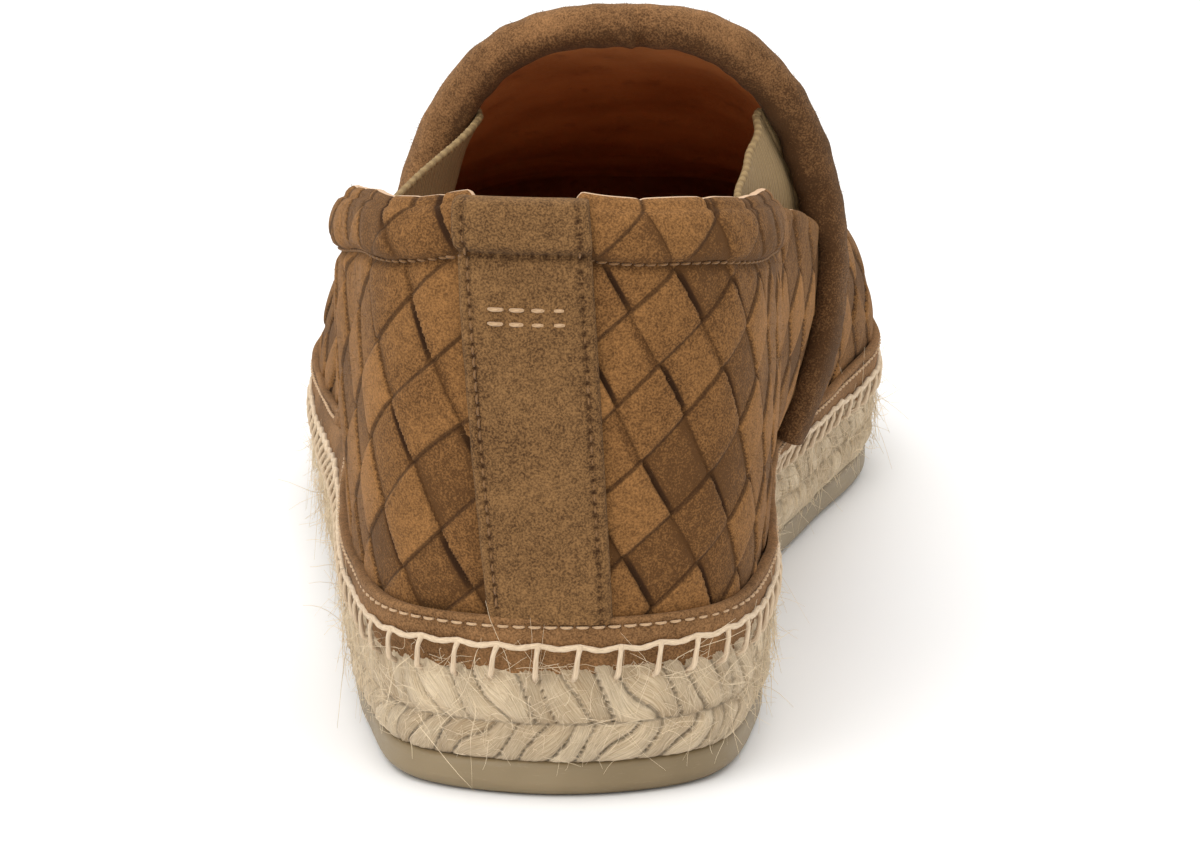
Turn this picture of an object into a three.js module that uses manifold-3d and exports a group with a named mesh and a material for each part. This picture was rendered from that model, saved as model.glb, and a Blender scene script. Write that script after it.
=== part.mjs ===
// A man's left slip-on espadrille: a woven suede upper on a braided jute sole with a rubber outsole.
// Millimetres, +Z up, toe towards +Y, big-toe side towards +X, standing on Z = 0.
// Every piece of the upper is worked out from one lattice of rows and columns over the last.
import * as THREE from "three";
import { mergeVertices } from "three/addons/utils/BufferGeometryUtils.js";
import Module from "manifold-3d";

const wasm = await Module();
wasm.setup();

// Sole sizes
const SOLE_LENGTH = 290;
const GAP = 0.3; // clearance between neighbouring pieces
const OUTSOLE_THICKNESS = 5.8;
const OUTSOLE_INSET = 2; // rubber edge inside the jute edge
const OUTSOLE_EDGE_ROUND = 3; // how far the rubber's lower edge rolls under
const JUTE_HEEL_THICKNESS = 15.2;
const JUTE_BALL_THICKNESS = 12.4;
const WEDGE_START_Y = 85; // the jute thins from here to the ball
const WEDGE_END_Y = 195;
const ARCH_RISE = 1.2;
const ARCH_MIDDLE_Y = 112;
const ARCH_HALF_LENGTH = 36;
const TOE_SPRING = 6.5;
const TOE_SPRING_START_Y = 226;
const INSOLE_THICKNESS = 3;
const INSOLE_EDGE_SLANT = 1.4;

// Upper sizes
const WALL = 2.2; // strips, backing and lining together
const FEATHER_INSET = 2.2; // upper's lower edge inside the jute edge
const FOXING_HEIGHT = 8.1;
const FOXING_THICKNESS = 1.5;
const CASING_HEIGHT = 12; // turned collar above its seam
const CASING_SWELL = 1.5;
const STRIP_RELIEF = 0.8; // crown of each woven strip over its edges
const HEEL_STRIP_FOOT_WIDTH = 20;
const HEEL_STRIP_TOP_WIDTH = 21.5;
const HEEL_STRIP_THICKNESS = 1.5;
const HEEL_STRIP_FOOT_X = -1.4; // the strip leans to the outer side as it rises
const HEEL_STRIP_TOP_X = -5.8;
const ELASTIC_THICKNESS = 1.4;

// Jute braid on the sole's side
const STRAND_PITCH = 5;
const STRAND_RELIEF = 0.8;
const BRAID_GROOVE = 1.1;

// Outline of the jute sole, seen from above: Y from the heel, X towards the big toe.
const SOLE_OUTLINE = [
  { place: "heel back", x: 0, y: 0 },
  { place: "heel outer back", x: -25, y: 9.5 },
  { place: "heel outer side", x: -33.7, y: 38 },
  { place: "waist outer", x: -39.5, y: 98 },
  { place: "joint outer back", x: -45, y: 147 },
  { place: "joint outer", x: -48.5, y: 194 },
  { place: "small toe", x: -42, y: 241 },
  { place: "toe outer", x: -21, y: 279.5 },
  { place: "toe tip", x: 7, y: 290 },
  { place: "toe inner", x: 34, y: 280.5 },
  { place: "big toe", x: 51, y: 248 },
  { place: "joint inner", x: 56, y: 208 },
  { place: "joint inner back", x: 46.5, y: 167 },
  { place: "waist inner", x: 36.3, y: 120 },
  { place: "heel inner side", x: 33.7, y: 40 },
  { place: "heel inner back", x: 24.6, y: 9.5 },
];
const TOE_TIP_ROW = 8;

// Crest of the last by the share of the way from heel to toe. Over the heel it lies above the collar.
const CREST = [
  { share: 0.0, x: 1, y: 48, z: 124 },
  { share: 0.13, x: 2, y: 58, z: 124 },
  { share: 0.28, x: 6, y: 84, z: 116 },
  { share: 0.413, x: 11, y: 104, z: 103 },
  { share: 0.5, x: 11.5, y: 140, z: 89 },
  { share: 0.62, x: 11, y: 178, z: 72 },
  { share: 0.75, x: 10.5, y: 216, z: 58.5 },
  { share: 0.88, x: 10, y: 247, z: 51.8 },
  { share: 1.0, x: 9, y: 263, z: 50 },
];

// Sides of the last's sections: square is a superellipse power, flare the swell over the feather edge.
const SIDES = [
  { share: 0.0, squareOuter: 4.2, squareInner: 4.2, flareOuter: 0.05, flareInner: 0.05 },
  { share: 0.13, squareOuter: 4.0, squareInner: 4.0, flareOuter: 0.1, flareInner: 0.12 },
  { share: 0.28, squareOuter: 3.2, squareInner: 3.4, flareOuter: 0.06, flareInner: 0.18 },
  { share: 0.413, squareOuter: 2.8, squareInner: 2.6, flareOuter: -0.2, flareInner: 0.5 },
  { share: 0.5, squareOuter: 2.4, squareInner: 2.5, flareOuter: -0.08, flareInner: 0.36 },
  { share: 0.62, squareOuter: 2.2, squareInner: 2.4, flareOuter: 0.04, flareInner: 0.12 },
  { share: 0.75, squareOuter: 2.3, squareInner: 2.4, flareOuter: 0.05, flareInner: 0.05 },
  { share: 1.0, squareOuter: 2.5, squareInner: 2.5, flareOuter: 0.04, flareInner: 0.04 },
];

// Collar height by the share of the way from heel to toe, up to the vamp's back edge.
const COLLAR = [
  { share: 0.0, z: 94 },
  { share: 0.13, z: 89 },
  { share: 0.27, z: 81.5 },
  { share: 0.35, z: 85.5 },
  { share: 0.413, z: 90 },
];

// Side view of the notch that the elastic fills: its back edge. Its front edge is the vamp's back edge.
const NOTCH_BACK = [
  { place: "quarter top", y: 79, z: 80.5 },
  { place: "over the quarter", y: 79, z: 90 },
  { place: "over the elastic", y: 100, z: 96 },
];
const NOTCH_FOOT_ROW = 5.6; // where the notch runs out, in lattice rows
const NOTCH_HALF_WIDTH = 70;

// Section across the vamp binding: across is measured from the vamp's edge towards the toe, the heights
// from the skin. Above the notch the roll hooks round the edge, below it the roll lies on the quarter.
const BINDING_TOP = [
  { across: 11, hooked: 1.0, laid: 1.0 },
  { across: 9, hooked: 2.7, laid: 2.7 },
  { across: 5, hooked: 4.3, laid: 4.3 },
  { across: 0.5, hooked: 4.6, laid: 4.6 },
  { across: -2.6, hooked: 3.4, laid: 3.6 },
  { across: -3.8, hooked: 0.8, laid: 2.4 },
  { across: -3.2, hooked: -1.7, laid: 1.2 },
];
const BINDING_UNDER = [
  { across: 11, hooked: 0.5, laid: 0.5 },
  { across: 8, hooked: 0.5, laid: 0.5 },
  { across: 5, hooked: 0.5, laid: 0.5 },
  { across: 2.5, hooked: 0.5, laid: 0.5 },
  { across: -0.5, hooked: 0.5, laid: 0.5 },
  { across: -0.6, hooked: -0.6, laid: 0.5 },
  { across: -0.7, hooked: -1.9, laid: 0.5 },
];
const HOOK_START_ROW = 6;
const HOOK_END_ROW = 7.2;
const BINDING_STEPS_A_ROW = 2;

// Lattice over the last: columns run from the heel back to the toe tip on each side, rows run upwards.
const COLUMNS_A_SIDE = 46;
const VAMP_COLUMN = 19; // the vamp's back edge
const FOXING_ROW = 1;
const SEAM_ROW = 7; // the collar casing's seam
const COLLAR_ROW = 9;
const CREST_ROW = 14;
const EDGE_ROWS = 0.08; // clearance of a strip's end, in rows or columns
const MERIDIAN_STEPS = 60; // points along each column before it is shared out into rows
const HEEL_STRIP_COLUMNS = 2; // smooth columns under the heel strip
const TOE_PLAIN_COLUMN = 42; // ahead of this column the crest is too close for relief
const BINDING_COLUMNS = 2; // smooth columns under the binding

const mix = THREE.MathUtils.lerp;
const smoothstep = THREE.MathUtils.smoothstep;

// Smooth curve through one column of a table: cubic pieces whose slope at a row follows its neighbours.
function tableCurve(table, key, column, at) {
  const last = table.length - 1;
  let row = 0;
  while (row < last - 1 && at > table[row + 1][key]) row += 1;
  const slope = (i) => {
    const before = table[Math.max(i - 1, 0)];
    const after = table[Math.min(i + 1, last)];
    return (after[column] - before[column]) / (after[key] - before[key]);
  };
  const from = table[row];
  const to = table[row + 1];
  const span = to[key] - from[key];
  const t = (at - from[key]) / span;
  const rise = to[column] - from[column];
  const startBend = slope(row) * span - rise;
  const endBend = rise - slope(row + 1) * span;
  return mix(from[column], to[column], t) + t * (1 - t) * ((1 - t) * startBend + t * endBend);
}

// Points evenly spaced along a polyline, both ends included.
function evenPoints(points, count) {
  const reach = [0];
  for (let i = 1; i < points.length; i += 1) {
    reach.push(reach[i - 1] + points[i].distanceTo(points[i - 1]));
  }
  return Array.from({ length: count + 1 }, (_, i) => pointAlong(points, reach, (reach.at(-1) * i) / count));
}

function pointAlong(points, reach, distance) {
  let i = 1;
  while (i < points.length - 1 && reach[i] < distance) i += 1;
  const t = (distance - reach[i - 1]) / (reach[i] - reach[i - 1]);
  return points[i - 1].clone().lerp(points[i], t);
}

// One side of the sole's outline from heel back to toe tip, as evenly spaced points.
const outlineCurve = new THREE.CatmullRomCurve3(
  SOLE_OUTLINE.map(({ x, y }) => new THREE.Vector3(x, y, 0)),
  true,
  "centripetal",
);
const OUTLINE_STEPS = 40; // points per outline row before they are shared out

function outlineSide(side, count) {
  const rows = SOLE_OUTLINE.length;
  const toeAt = TOE_TIP_ROW / rows;
  const steps = OUTLINE_STEPS * (side < 0 ? TOE_TIP_ROW : rows - TOE_TIP_ROW);
  const points = Array.from({ length: steps + 1 }, (_, i) => {
    const t = (toeAt * i) / steps;
    return outlineCurve.getPoint(side < 0 ? t : 1 - ((1 - toeAt) * i) / steps);
  });
  return evenPoints(points, count);
}

// The whole outline from the heel round the outer side, drawn in by an inset.
function outlineLoop(columnsASide, inset, shift = 0) {
  const outer = outlineSide(-1, columnsASide);
  const inner = outlineSide(1, columnsASide);
  const loop = [...outer, ...inner.slice(1, -1).reverse()];
  return loop.map((_, i) => {
    const here = loopPoint(loop, i + shift);
    const along = loopPoint(loop, i + shift + 1).sub(loopPoint(loop, i + shift - 1));
    const inward = new THREE.Vector3(along.y, -along.x, 0).normalize();
    return here.addScaledVector(inward, inset);
  });
}

function loopPoint(loop, index) {
  const whole = Math.floor(index);
  const wrap = (i) => loop[((i % loop.length) + loop.length) % loop.length];
  return wrap(whole).clone().lerp(wrap(whole + 1), index - whole);
}

// Heights along the sole
function groundHeight(y) {
  const fromArch = (y - ARCH_MIDDLE_Y) / ARCH_HALF_LENGTH;
  const arch = Math.abs(fromArch) < 1 ? ARCH_RISE * (1 - fromArch ** 2) ** 2 : 0;
  const spring = Math.max(0, (y - TOE_SPRING_START_Y) / (SOLE_LENGTH - TOE_SPRING_START_Y));
  return arch + TOE_SPRING * spring ** 2;
}

function juteBottom(y) {
  return groundHeight(y) + OUTSOLE_THICKNESS + GAP;
}

function juteTop(y) {
  const thinning = smoothstep(y, WEDGE_START_Y, WEDGE_END_Y);
  return juteBottom(y) + mix(JUTE_HEEL_THICKNESS, JUTE_BALL_THICKNESS, thinning);
}

// Solids from index lists
function solidGeometry(points, faces) {
  const geometry = new THREE.BufferGeometry();
  const coordinates = points.flatMap((p) => [p.x, p.y, p.z]);
  geometry.setAttribute("position", new THREE.Float32BufferAttribute(coordinates, 3));
  geometry.setIndex(faces.flat());
  return geometry;
}

// A stack of loops, each from the heel round by the outer side. Rungs close its first and last loop.
function stackedLoops(loops) {
  const count = loops[0].length;
  const faces = [];
  for (let level = 0; level < loops.length - 1; level += 1) {
    for (let i = 0; i < count; i += 1) {
      const next = (i + 1) % count;
      const low = level * count;
      const high = low + count;
      faces.push([low + i, high + next, low + next], [low + i, high + i, high + next]);
    }
  }
  faces.push(...rungs(count, 0, false), ...rungs(count, (loops.length - 1) * count, true));
  return solidGeometry(loops.flat(), faces);
}

function rungs(count, base, facesUp) {
  const faces = [];
  const half = count / 2;
  for (let i = 0; i < half; i += 1) {
    const outer = base + i;
    const outerNext = base + i + 1;
    const inner = base + ((count - i) % count);
    const innerNext = base + count - i - 1;
    if (i < half - 1) faces.push([outer, innerNext, outerNext]);
    if (i > 0) faces.push([outer, inner, innerNext]);
  }
  return facesUp ? faces : faces.map(([a, b, c]) => [a, c, b]);
}

// A row of closed sections, joined into a ring or capped at both ends. A section runs out along one path
// and back along another with as many points.
function loftedSections(sections, isRing) {
  const count = sections[0].length;
  const faces = [];
  const spans = isRing ? sections.length : sections.length - 1;
  for (let s = 0; s < spans; s += 1) {
    const here = s * count;
    const there = ((s + 1) % sections.length) * count;
    for (let i = 0; i < count; i += 1) {
      const next = (i + 1) % count;
      faces.push([here + i, there + i, there + next], [here + i, there + next, here + next]);
    }
  }
  if (!isRing) {
    const end = (sections.length - 1) * count;
    for (let i = 0; i < count / 2 - 1; i += 1) {
      const facing = count - 1 - i;
      faces.push([i, i + 1, facing], [i + 1, facing - 1, facing]);
      faces.push([end + i, end + facing, end + i + 1], [end + i + 1, end + facing, end + facing - 1]);
    }
  }
  return solidGeometry(sections.flat(), faces);
}

// One column of the last: a superellipse from the feather edge to the crest, swollen by its flare and
// shared out into rows. Sideways columns leave the crest square to it, so both halves meet smoothly.
function columnRows(side, column, feather) {
  const share = column / COLUMNS_A_SIDE;
  const crest = (name) => tableCurve(CREST, "share", name, share);
  const top = new THREE.Vector3(crest("x"), crest("y"), crest("z"));
  const sideName = side < 0 ? "Outer" : "Inner";
  const power = 2 / tableCurve(SIDES, "share", `square${sideName}`, share);
  const flare = tableCurve(SIDES, "share", `flare${sideName}`, share);
  const reachX = feather.x - top.x;
  const reachY = feather.y - top.y;
  const squareOff = 1 + reachX ** 2 / (reachX ** 2 + reachY ** 2);
  const points = [];
  const reach = [0];
  for (let i = 0; i <= MERIDIAN_STEPS; i += 1) {
    const turn = (Math.PI / 2) * (i / MERIDIAN_STEPS);
    const rise = Math.sin(turn) ** power;
    const inward = Math.cos(turn) ** power;
    const swell = flare * (1 - (1 - rise) ** 3);
    const x = top.x + reachX * inward * (1 + swell);
    const y = top.y + reachY * inward ** squareOff * (1 + swell * (2 - squareOff));
    points.push(new THREE.Vector3(x, y, mix(feather.z, top.z, rise)));
    if (i > 0) reach.push(reach[i - 1] + points[i].distanceTo(points[i - 1]));
  }
  return rowDistances(column, points, reach).map((distance) => pointAlong(points, reach, distance));
}

// Distances up a column of its rows: evenly to the crest on the vamp, to the collar on the quarter.
function rowDistances(column, points, reach) {
  const total = reach.at(-1);
  if (column >= VAMP_COLUMN) {
    const step = (total - FOXING_HEIGHT) / (CREST_ROW - FOXING_ROW);
    const onVamp = Array.from({ length: CREST_ROW }, (_, i) => FOXING_HEIGHT + step * i);
    return [0, ...onVamp];
  }
  const collarZ = tableCurve(COLLAR, "share", "z", column / COLUMNS_A_SIDE);
  const above = points.findIndex((p) => p.z >= collarZ);
  const part = (collarZ - points[above - 1].z) / (points[above].z - points[above - 1].z);
  const collar = mix(reach[above - 1], reach[above], part);
  const seam = collar - CASING_HEIGHT;
  const weaveRows = SEAM_ROW - FOXING_ROW;
  const weave = Array.from({ length: weaveRows + 1 }, (_, i) => mix(FOXING_HEIGHT, seam, i / weaveRows));
  return [0, ...weave, mix(seam, collar, 0.5), collar];
}

// The lattice: skin[side][column][row] with a point and its outward normal.
function makeLattice() {
  const sides = { outer: -1, inner: 1 };
  const columns = {};
  for (const [name, side] of Object.entries(sides)) {
    const edge = insetSide(side);
    columns[name] = edge.map((feather, column) => columnRows(side, column, feather));
  }
  for (const row of columns.outer[0].keys()) {
    columns.inner[0][row] = columns.outer[0][row];
  }
  return columns;
}

// Feather edge of one side, on top of the jute.
function insetSide(side) {
  const loop = outlineLoop(COLUMNS_A_SIDE, FEATHER_INSET);
  const half = Array.from({ length: COLUMNS_A_SIDE + 1 }, (_, i) =>
    loop[side < 0 ? i : (loop.length - i) % loop.length],
  );
  return half.map((p) => new THREE.Vector3(p.x, p.y, juteTop(p.y) + GAP));
}

const lattice = makeLattice();

// Signed columns: negative on the outer side, 0 at the heel back, positive on the inner side.
function latticePoint(column, row) {
  const side = column < 0 ? lattice.outer : lattice.inner;
  return side[Math.abs(column)][row];
}

// Index of each lattice vertex: the toe column and the crest row are shared by both sides.
function latticeMesh() {
  const points = [];
  const index = new Map();
  const keyOf = (column, row) => {
    const far = Math.abs(column);
    const shared = far === COLUMNS_A_SIDE || far === 0 || row === CREST_ROW;
    return `${shared ? far : column},${row}`;
  };
  const vertex = (column, row) => {
    const key = keyOf(column, row);
    if (!index.has(key)) {
      index.set(key, points.length);
      points.push({ column, row, place: latticePoint(column, row) });
    }
    return index.get(key);
  };
  const faces = [];
  for (let column = -COLUMNS_A_SIDE; column < COLUMNS_A_SIDE; column += 1) {
    const onVamp = column >= VAMP_COLUMN || column < -VAMP_COLUMN;
    const top = onVamp ? CREST_ROW : COLLAR_ROW;
    for (let row = 0; row < top; row += 1) {
      const a = vertex(column, row);
      const b = vertex(column + 1, row);
      const c = vertex(column + 1, row + 1);
      const d = vertex(column, row + 1);
      const rising = (column + row) % 2 === 0;
      const pair = rising ? [[a, b, c], [a, c, d]] : [[a, b, d], [b, c, d]];
      faces.push(...pair.filter(([i, j, k]) => i !== j && j !== k && k !== i));
    }
  }
  return { points, faces, vertex };
}

const skin = latticeMesh();
const skinGeometry = solidGeometry(skin.points.map((p) => p.place), skin.faces);
skinGeometry.computeVertexNormals();
const normalAttribute = skinGeometry.getAttribute("normal");

// Outward normal of a lattice vertex, level along the feather edge so that the edge sits flat on the sole.
function skinNormal(vertex) {
  const normal = new THREE.Vector3().fromBufferAttribute(normalAttribute, vertex);
  return skin.points[vertex].row === 0 ? normal.setZ(0).normalize() : normal;
}

// A point of the skin between lattice columns and rows, moved out along the normal.
function onSkin(column, row, offset) {
  const lowColumn = Math.min(Math.floor(column), COLUMNS_A_SIDE - 1);
  const lowRow = Math.min(Math.floor(row), CREST_ROW - 1);
  const place = new THREE.Vector3();
  const normal = new THREE.Vector3();
  for (const c of [lowColumn, lowColumn + 1]) {
    for (const r of [lowRow, lowRow + 1]) {
      const weight = (1 - Math.abs(column - c)) * (1 - Math.abs(row - r));
      if (weight > 0) {
        const vertex = skin.vertex(c, r);
        place.addScaledVector(skin.points[vertex].place, weight);
        normal.addScaledVector(skinNormal(vertex), weight);
      }
    }
  }
  return place.addScaledVector(normal.normalize(), offset);
}

// Height of the woven strips and of the collar casing over the plain skin.
function relief({ column, row }) {
  const far = Math.abs(column);
  const underStrip = far <= HEEL_STRIP_COLUMNS;
  if (row === SEAM_ROW + 1 && far < VAMP_COLUMN - 1) return CASING_SWELL;
  const underBinding = Math.abs(far - VAMP_COLUMN) <= BINDING_COLUMNS;
  const inCasing = far < VAMP_COLUMN && row >= SEAM_ROW;
  const atToeCrest = far >= TOE_PLAIN_COLUMN && row >= COLLAR_ROW;
  if (underStrip || underBinding || inCasing || atToeCrest || row <= FOXING_ROW) return 0;
  return (far + row) % 2 === 0 ? STRIP_RELIEF : 0;
}

// Upper: one hollow wall, open at the collar, throat and underneath.
function upperWall() {
  const count = skin.points.length;
  const outside = skin.points.map((p, i) => p.place.clone().addScaledVector(skinNormal(i), relief(p)));
  const inside = skin.points.map((p, i) => p.place.clone().addScaledVector(skinNormal(i), -WALL));
  const inner = skin.faces.map(([a, b, c]) => [a + count, c + count, b + count]);
  return solidGeometry([...outside, ...inside], [...skin.faces, ...inner, ...openEdgeFaces(count)]);
}

// Faces that close the wall along every edge that only one face of the skin uses.
function openEdgeFaces(count) {
  const used = new Set(skin.faces.flatMap(([a, b, c]) => [`${a},${b}`, `${b},${c}`, `${c},${a}`]));
  const edges = [...used].map((edge) => edge.split(",").map(Number));
  const open = edges.filter(([a, b]) => !used.has(`${b},${a}`));
  return open.flatMap(([a, b]) => [[b, a, a + count], [b, a + count, b + count]]);
}


// Prism across one side of the shoe from a polygon in side view.
function sidePrism(polygon, side) {
  const shape = new THREE.Shape(polygon.map(({ y, z }) => new THREE.Vector2(y, z)));
  const geometry = new THREE.ExtrudeGeometry(shape, { depth: NOTCH_HALF_WIDTH, bevelEnabled: false });
  const axes = new THREE.Matrix4().makeBasis(
    new THREE.Vector3(0, 1, 0),
    new THREE.Vector3(0, 0, 1),
    new THREE.Vector3(1, 0, 0),
  );
  geometry.applyMatrix4(axes);
  geometry.translate(side < 0 ? -NOTCH_HALF_WIDTH : 0, 0, 0);
  return geometry;
}

function notchPolygon(side) {
  const rows = Array.from({ length: COLLAR_ROW - Math.ceil(NOTCH_FOOT_ROW) + 1 }, (_, i) => COLLAR_ROW - i);
  const edge = [...rows, NOTCH_FOOT_ROW].map((row) => onSkin(side * VAMP_COLUMN, row, 0));
  return [...NOTCH_BACK, ...edge.map(({ y, z }) => ({ y, z }))];
}

function toManifold(geometry) {
  const bare = geometry.clone();
  bare.deleteAttribute("normal");
  bare.deleteAttribute("uv");
  const welded = mergeVertices(bare, 1e-4);
  return new wasm.Manifold(
    new wasm.Mesh({
      numProp: 3,
      vertProperties: new Float32Array(welded.getAttribute("position").array),
      triVerts: new Uint32Array(welded.getIndex().array),
    }),
  );
}

function fromManifold(manifold) {
  const mesh = manifold.getMesh();
  const geometry = new THREE.BufferGeometry();
  geometry.setAttribute("position", new THREE.BufferAttribute(new Float32Array(mesh.vertProperties), 3));
  geometry.setIndex(new THREE.BufferAttribute(new Uint32Array(mesh.triVerts), 1));
  return geometry;
}

function upperGeometry() {
  const notched = [-1, 1].reduce(
    (wall, side) => wall.subtract(toManifold(sidePrism(notchPolygon(side), side))),
    toManifold(upperWall()),
  );
  return fromManifold(notched);
}

// Foxing band round the foot of the upper, with its top edge rolled in.
function foxingGeometry() {
  const outside = GAP + FOXING_THICKNESS;
  const section = [
    { row: 0, offset: outside },
    { row: 0.85, offset: outside },
    { row: 1, offset: mix(GAP, outside, 0.6) },
    { row: 1, offset: GAP },
    { row: 0.5, offset: GAP },
    { row: 0, offset: GAP },
  ];
  const columns = Array.from({ length: 2 * COLUMNS_A_SIDE }, (_, i) => i - COLUMNS_A_SIDE);
  const sections = columns.map((column) => section.map(({ row, offset }) => onSkin(column, row, offset)));
  return loftedSections(sections, true);
}

// Heel strip from the foxing over the collar to the inside. It bends where the wall's facets bend.
function heelStripGeometry() {
  const columnWidth = latticePoint(1, FOXING_ROW).distanceTo(latticePoint(0, FOXING_ROW));
  const rows = [FOXING_ROW + EDGE_ROWS, 2, 3, 4, 5, 6, SEAM_ROW, SEAM_ROW + 1, COLLAR_ROW];
  const rise = (row) => (row - FOXING_ROW) / (COLLAR_ROW - FOXING_ROW);
  const edge = (row, side) => {
    const middle = mix(HEEL_STRIP_FOOT_X, HEEL_STRIP_TOP_X, rise(row));
    const width = mix(HEEL_STRIP_FOOT_WIDTH, HEEL_STRIP_TOP_WIDTH, rise(row));
    return (middle + (side * width) / 2) / columnWidth;
  };
  const bends = [
    (row) => edge(row, -1),
    (row) => Math.max(edge(row, -1) + EDGE_ROWS, -2),
    () => -1,
    () => 0,
    (row) => Math.min(edge(row, 1) - EDGE_ROWS, 1),
    (row) => edge(row, 1),
  ];
  const path = (bend, offset) => {
    const swell = (row) => (row === SEAM_ROW + 1 ? CASING_SWELL : 0);
    const up = rows.map((row) => onSkin(bend(row), row, offset + swell(row)));
    const column = bend(COLLAR_ROW);
    const rim = onSkin(column, COLLAR_ROW, 0);
    const back = onSkin(column, COLLAR_ROW, -WALL - offset);
    rim.z += offset;
    back.z += offset * 0.7;
    return [...up, rim, back, onSkin(column, COLLAR_ROW - 0.8, -WALL - offset)];
  };
  const sections = bends.map((bend) => [
    ...path(bend, GAP + HEEL_STRIP_THICKNESS),
    ...path(bend, GAP).reverse(),
  ]);
  return loftedSections(sections, false);
}

// Padded binding along the vamp's back edge, from the foxing on one side over the throat to the other.
function bindingGeometry() {
  const steps = (CREST_ROW - FOXING_ROW) * BINDING_STEPS_A_ROW;
  const foot = FOXING_ROW + EDGE_ROWS;
  const rowAt = (i) => Math.max(foot, FOXING_ROW + i / BINDING_STEPS_A_ROW);
  const rows = Array.from({ length: steps + 1 }, (_, i) => rowAt(i));
  const rising = rows.map((row) => ({ side: -1, row }));
  const falling = rows.slice(0, -1).map((row) => ({ side: 1, row }));
  const stations = [...rising, ...falling.reverse()];
  const sections = stations.map(({ side, row }) => {
    const hook = smoothstep(row, HOOK_START_ROW, HOOK_END_ROW);
    const place = ({ across, hooked, laid }) => bindingPoint(side, row, across, mix(laid, hooked, hook));
    return [...BINDING_UNDER.map(place), ...BINDING_TOP.map(place).reverse()];
  });
  return loftedSections(sections, false);
}

// A point beside the vamp's back edge: it follows the skin over the vamp and runs straight on behind it.
function bindingPoint(side, row, across, height) {
  const edge = onSkin(side * VAMP_COLUMN, row, 0);
  const ahead = onSkin(side * (VAMP_COLUMN + 1), row, 0);
  const columnWidth = ahead.distanceTo(edge);
  if (across > 0) return onSkin(side * (VAMP_COLUMN + across / columnWidth), row, height);
  const raised = onSkin(side * VAMP_COLUMN, row, height);
  return raised.addScaledVector(ahead.sub(edge).normalize(), across);
}

// Elastic panel behind the notch of one side, between quarter and vamp.
function elasticGeometry(side) {
  const columns = [-5.6, -4, -3, -2, -1, 0, 0.8].map((step) => side * (VAMP_COLUMN + step));
  const rows = [4.6, 5, 6, 7, 8, COLLAR_ROW];
  const near = -WALL - GAP;
  const sections = columns.map((column) => [
    ...rows.map((row) => onSkin(column, row, near)),
    ...rows.map((row) => onSkin(column, row, near - ELASTIC_THICKNESS)).reverse(),
  ]);
  return loftedSections(side < 0 ? sections.reverse() : sections, false);
}

function outsoleGeometry() {
  const levels = [
    { inset: OUTSOLE_INSET + OUTSOLE_EDGE_ROUND, rise: 0 },
    { inset: OUTSOLE_INSET + OUTSOLE_EDGE_ROUND * 0.3, rise: OUTSOLE_THICKNESS * 0.22 },
    { inset: OUTSOLE_INSET, rise: OUTSOLE_THICKNESS * 0.55 },
    { inset: OUTSOLE_INSET, rise: OUTSOLE_THICKNESS },
  ];
  return stackedLoops(
    levels.map(({ inset, rise }) =>
      outlineLoop(COLUMNS_A_SIDE, inset).map((p) => p.setZ(groundHeight(p.y) + rise)),
    ),
  );
}

// Jute braid: two rows of leaning strands that meet in a groove half way up.
function juteGeometry() {
  const sideLength = outlineCurve.getLength() / 2;
  const strandsASide = Math.round(sideLength / STRAND_PITCH);
  const levels = [
    { rise: 0, inset: 1.6, crown: 0, lean: 0 },
    { rise: 0.26, inset: 0.2, crown: 1, lean: 0.8 },
    { rise: 0.5, inset: BRAID_GROOVE, crown: 0.4, lean: 1.6 },
    { rise: 0.74, inset: 0.2, crown: 1, lean: 0.8 },
    { rise: 1, inset: 1.6, crown: 0, lean: 0 },
  ];
  return stackedLoops(
    levels.map(({ rise, inset, crown, lean }) => {
      const ridge = outlineLoop(2 * strandsASide, inset, lean);
      const valley = outlineLoop(2 * strandsASide, inset + STRAND_RELIEF * crown, lean);
      const loop = ridge.map((p, i) => (i % 2 === 0 ? p : valley[i]));
      return loop.map((p) => p.setZ(mix(juteBottom(p.y), juteTop(p.y), rise)));
    }),
  );
}

// Insole inside the wall's foot, its edge slanted like the wall that leans in at the waist.
function insoleGeometry() {
  const levels = [
    { inset: FEATHER_INSET + WALL + GAP, rise: GAP },
    { inset: FEATHER_INSET + WALL + GAP + INSOLE_EDGE_SLANT, rise: GAP + INSOLE_THICKNESS },
  ];
  return stackedLoops(
    levels.map(({ inset, rise }) =>
      outlineLoop(COLUMNS_A_SIDE, inset).map((p) => p.setZ(juteTop(p.y) + rise)),
    ),
  );
}

// Whole shoe, set down with its box centred over the origin
const pieces = [
  { name: "outsole", geometry: outsoleGeometry(), color: 0x8c7852 },
  { name: "jute_midsole", geometry: juteGeometry(), color: 0xcdb791 },
  { name: "insole", geometry: insoleGeometry(), color: 0x8f5a2c },
  { name: "upper", geometry: upperGeometry(), color: 0x966e44 },
  { name: "foxing_band", geometry: foxingGeometry(), color: 0x7d583a },
  { name: "heel_strip", geometry: heelStripGeometry(), color: 0x7d5c3a },
  { name: "vamp_binding", geometry: bindingGeometry(), color: 0x6f4f30 },
  { name: "elastic_outer", geometry: elasticGeometry(-1), color: 0xa58c5a },
  { name: "elastic_inner", geometry: elasticGeometry(1), color: 0xa58c5a },
];

const shoe = new THREE.Group();
shoe.name = "slip_on_espadrille";
const MIDDLE = new THREE.Vector2(3.95, 144.22); // of the whole shoe's box, heel strip included
for (const { name, geometry, color } of pieces) {
  geometry.translate(-MIDDLE.x, -MIDDLE.y, 0);
  const mesh = new THREE.Mesh(geometry, new THREE.MeshStandardMaterial({ color, roughness: 0.9 }));
  mesh.name = name;
  shoe.add(mesh);
}

export default shoe;
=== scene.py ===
import math

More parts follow.
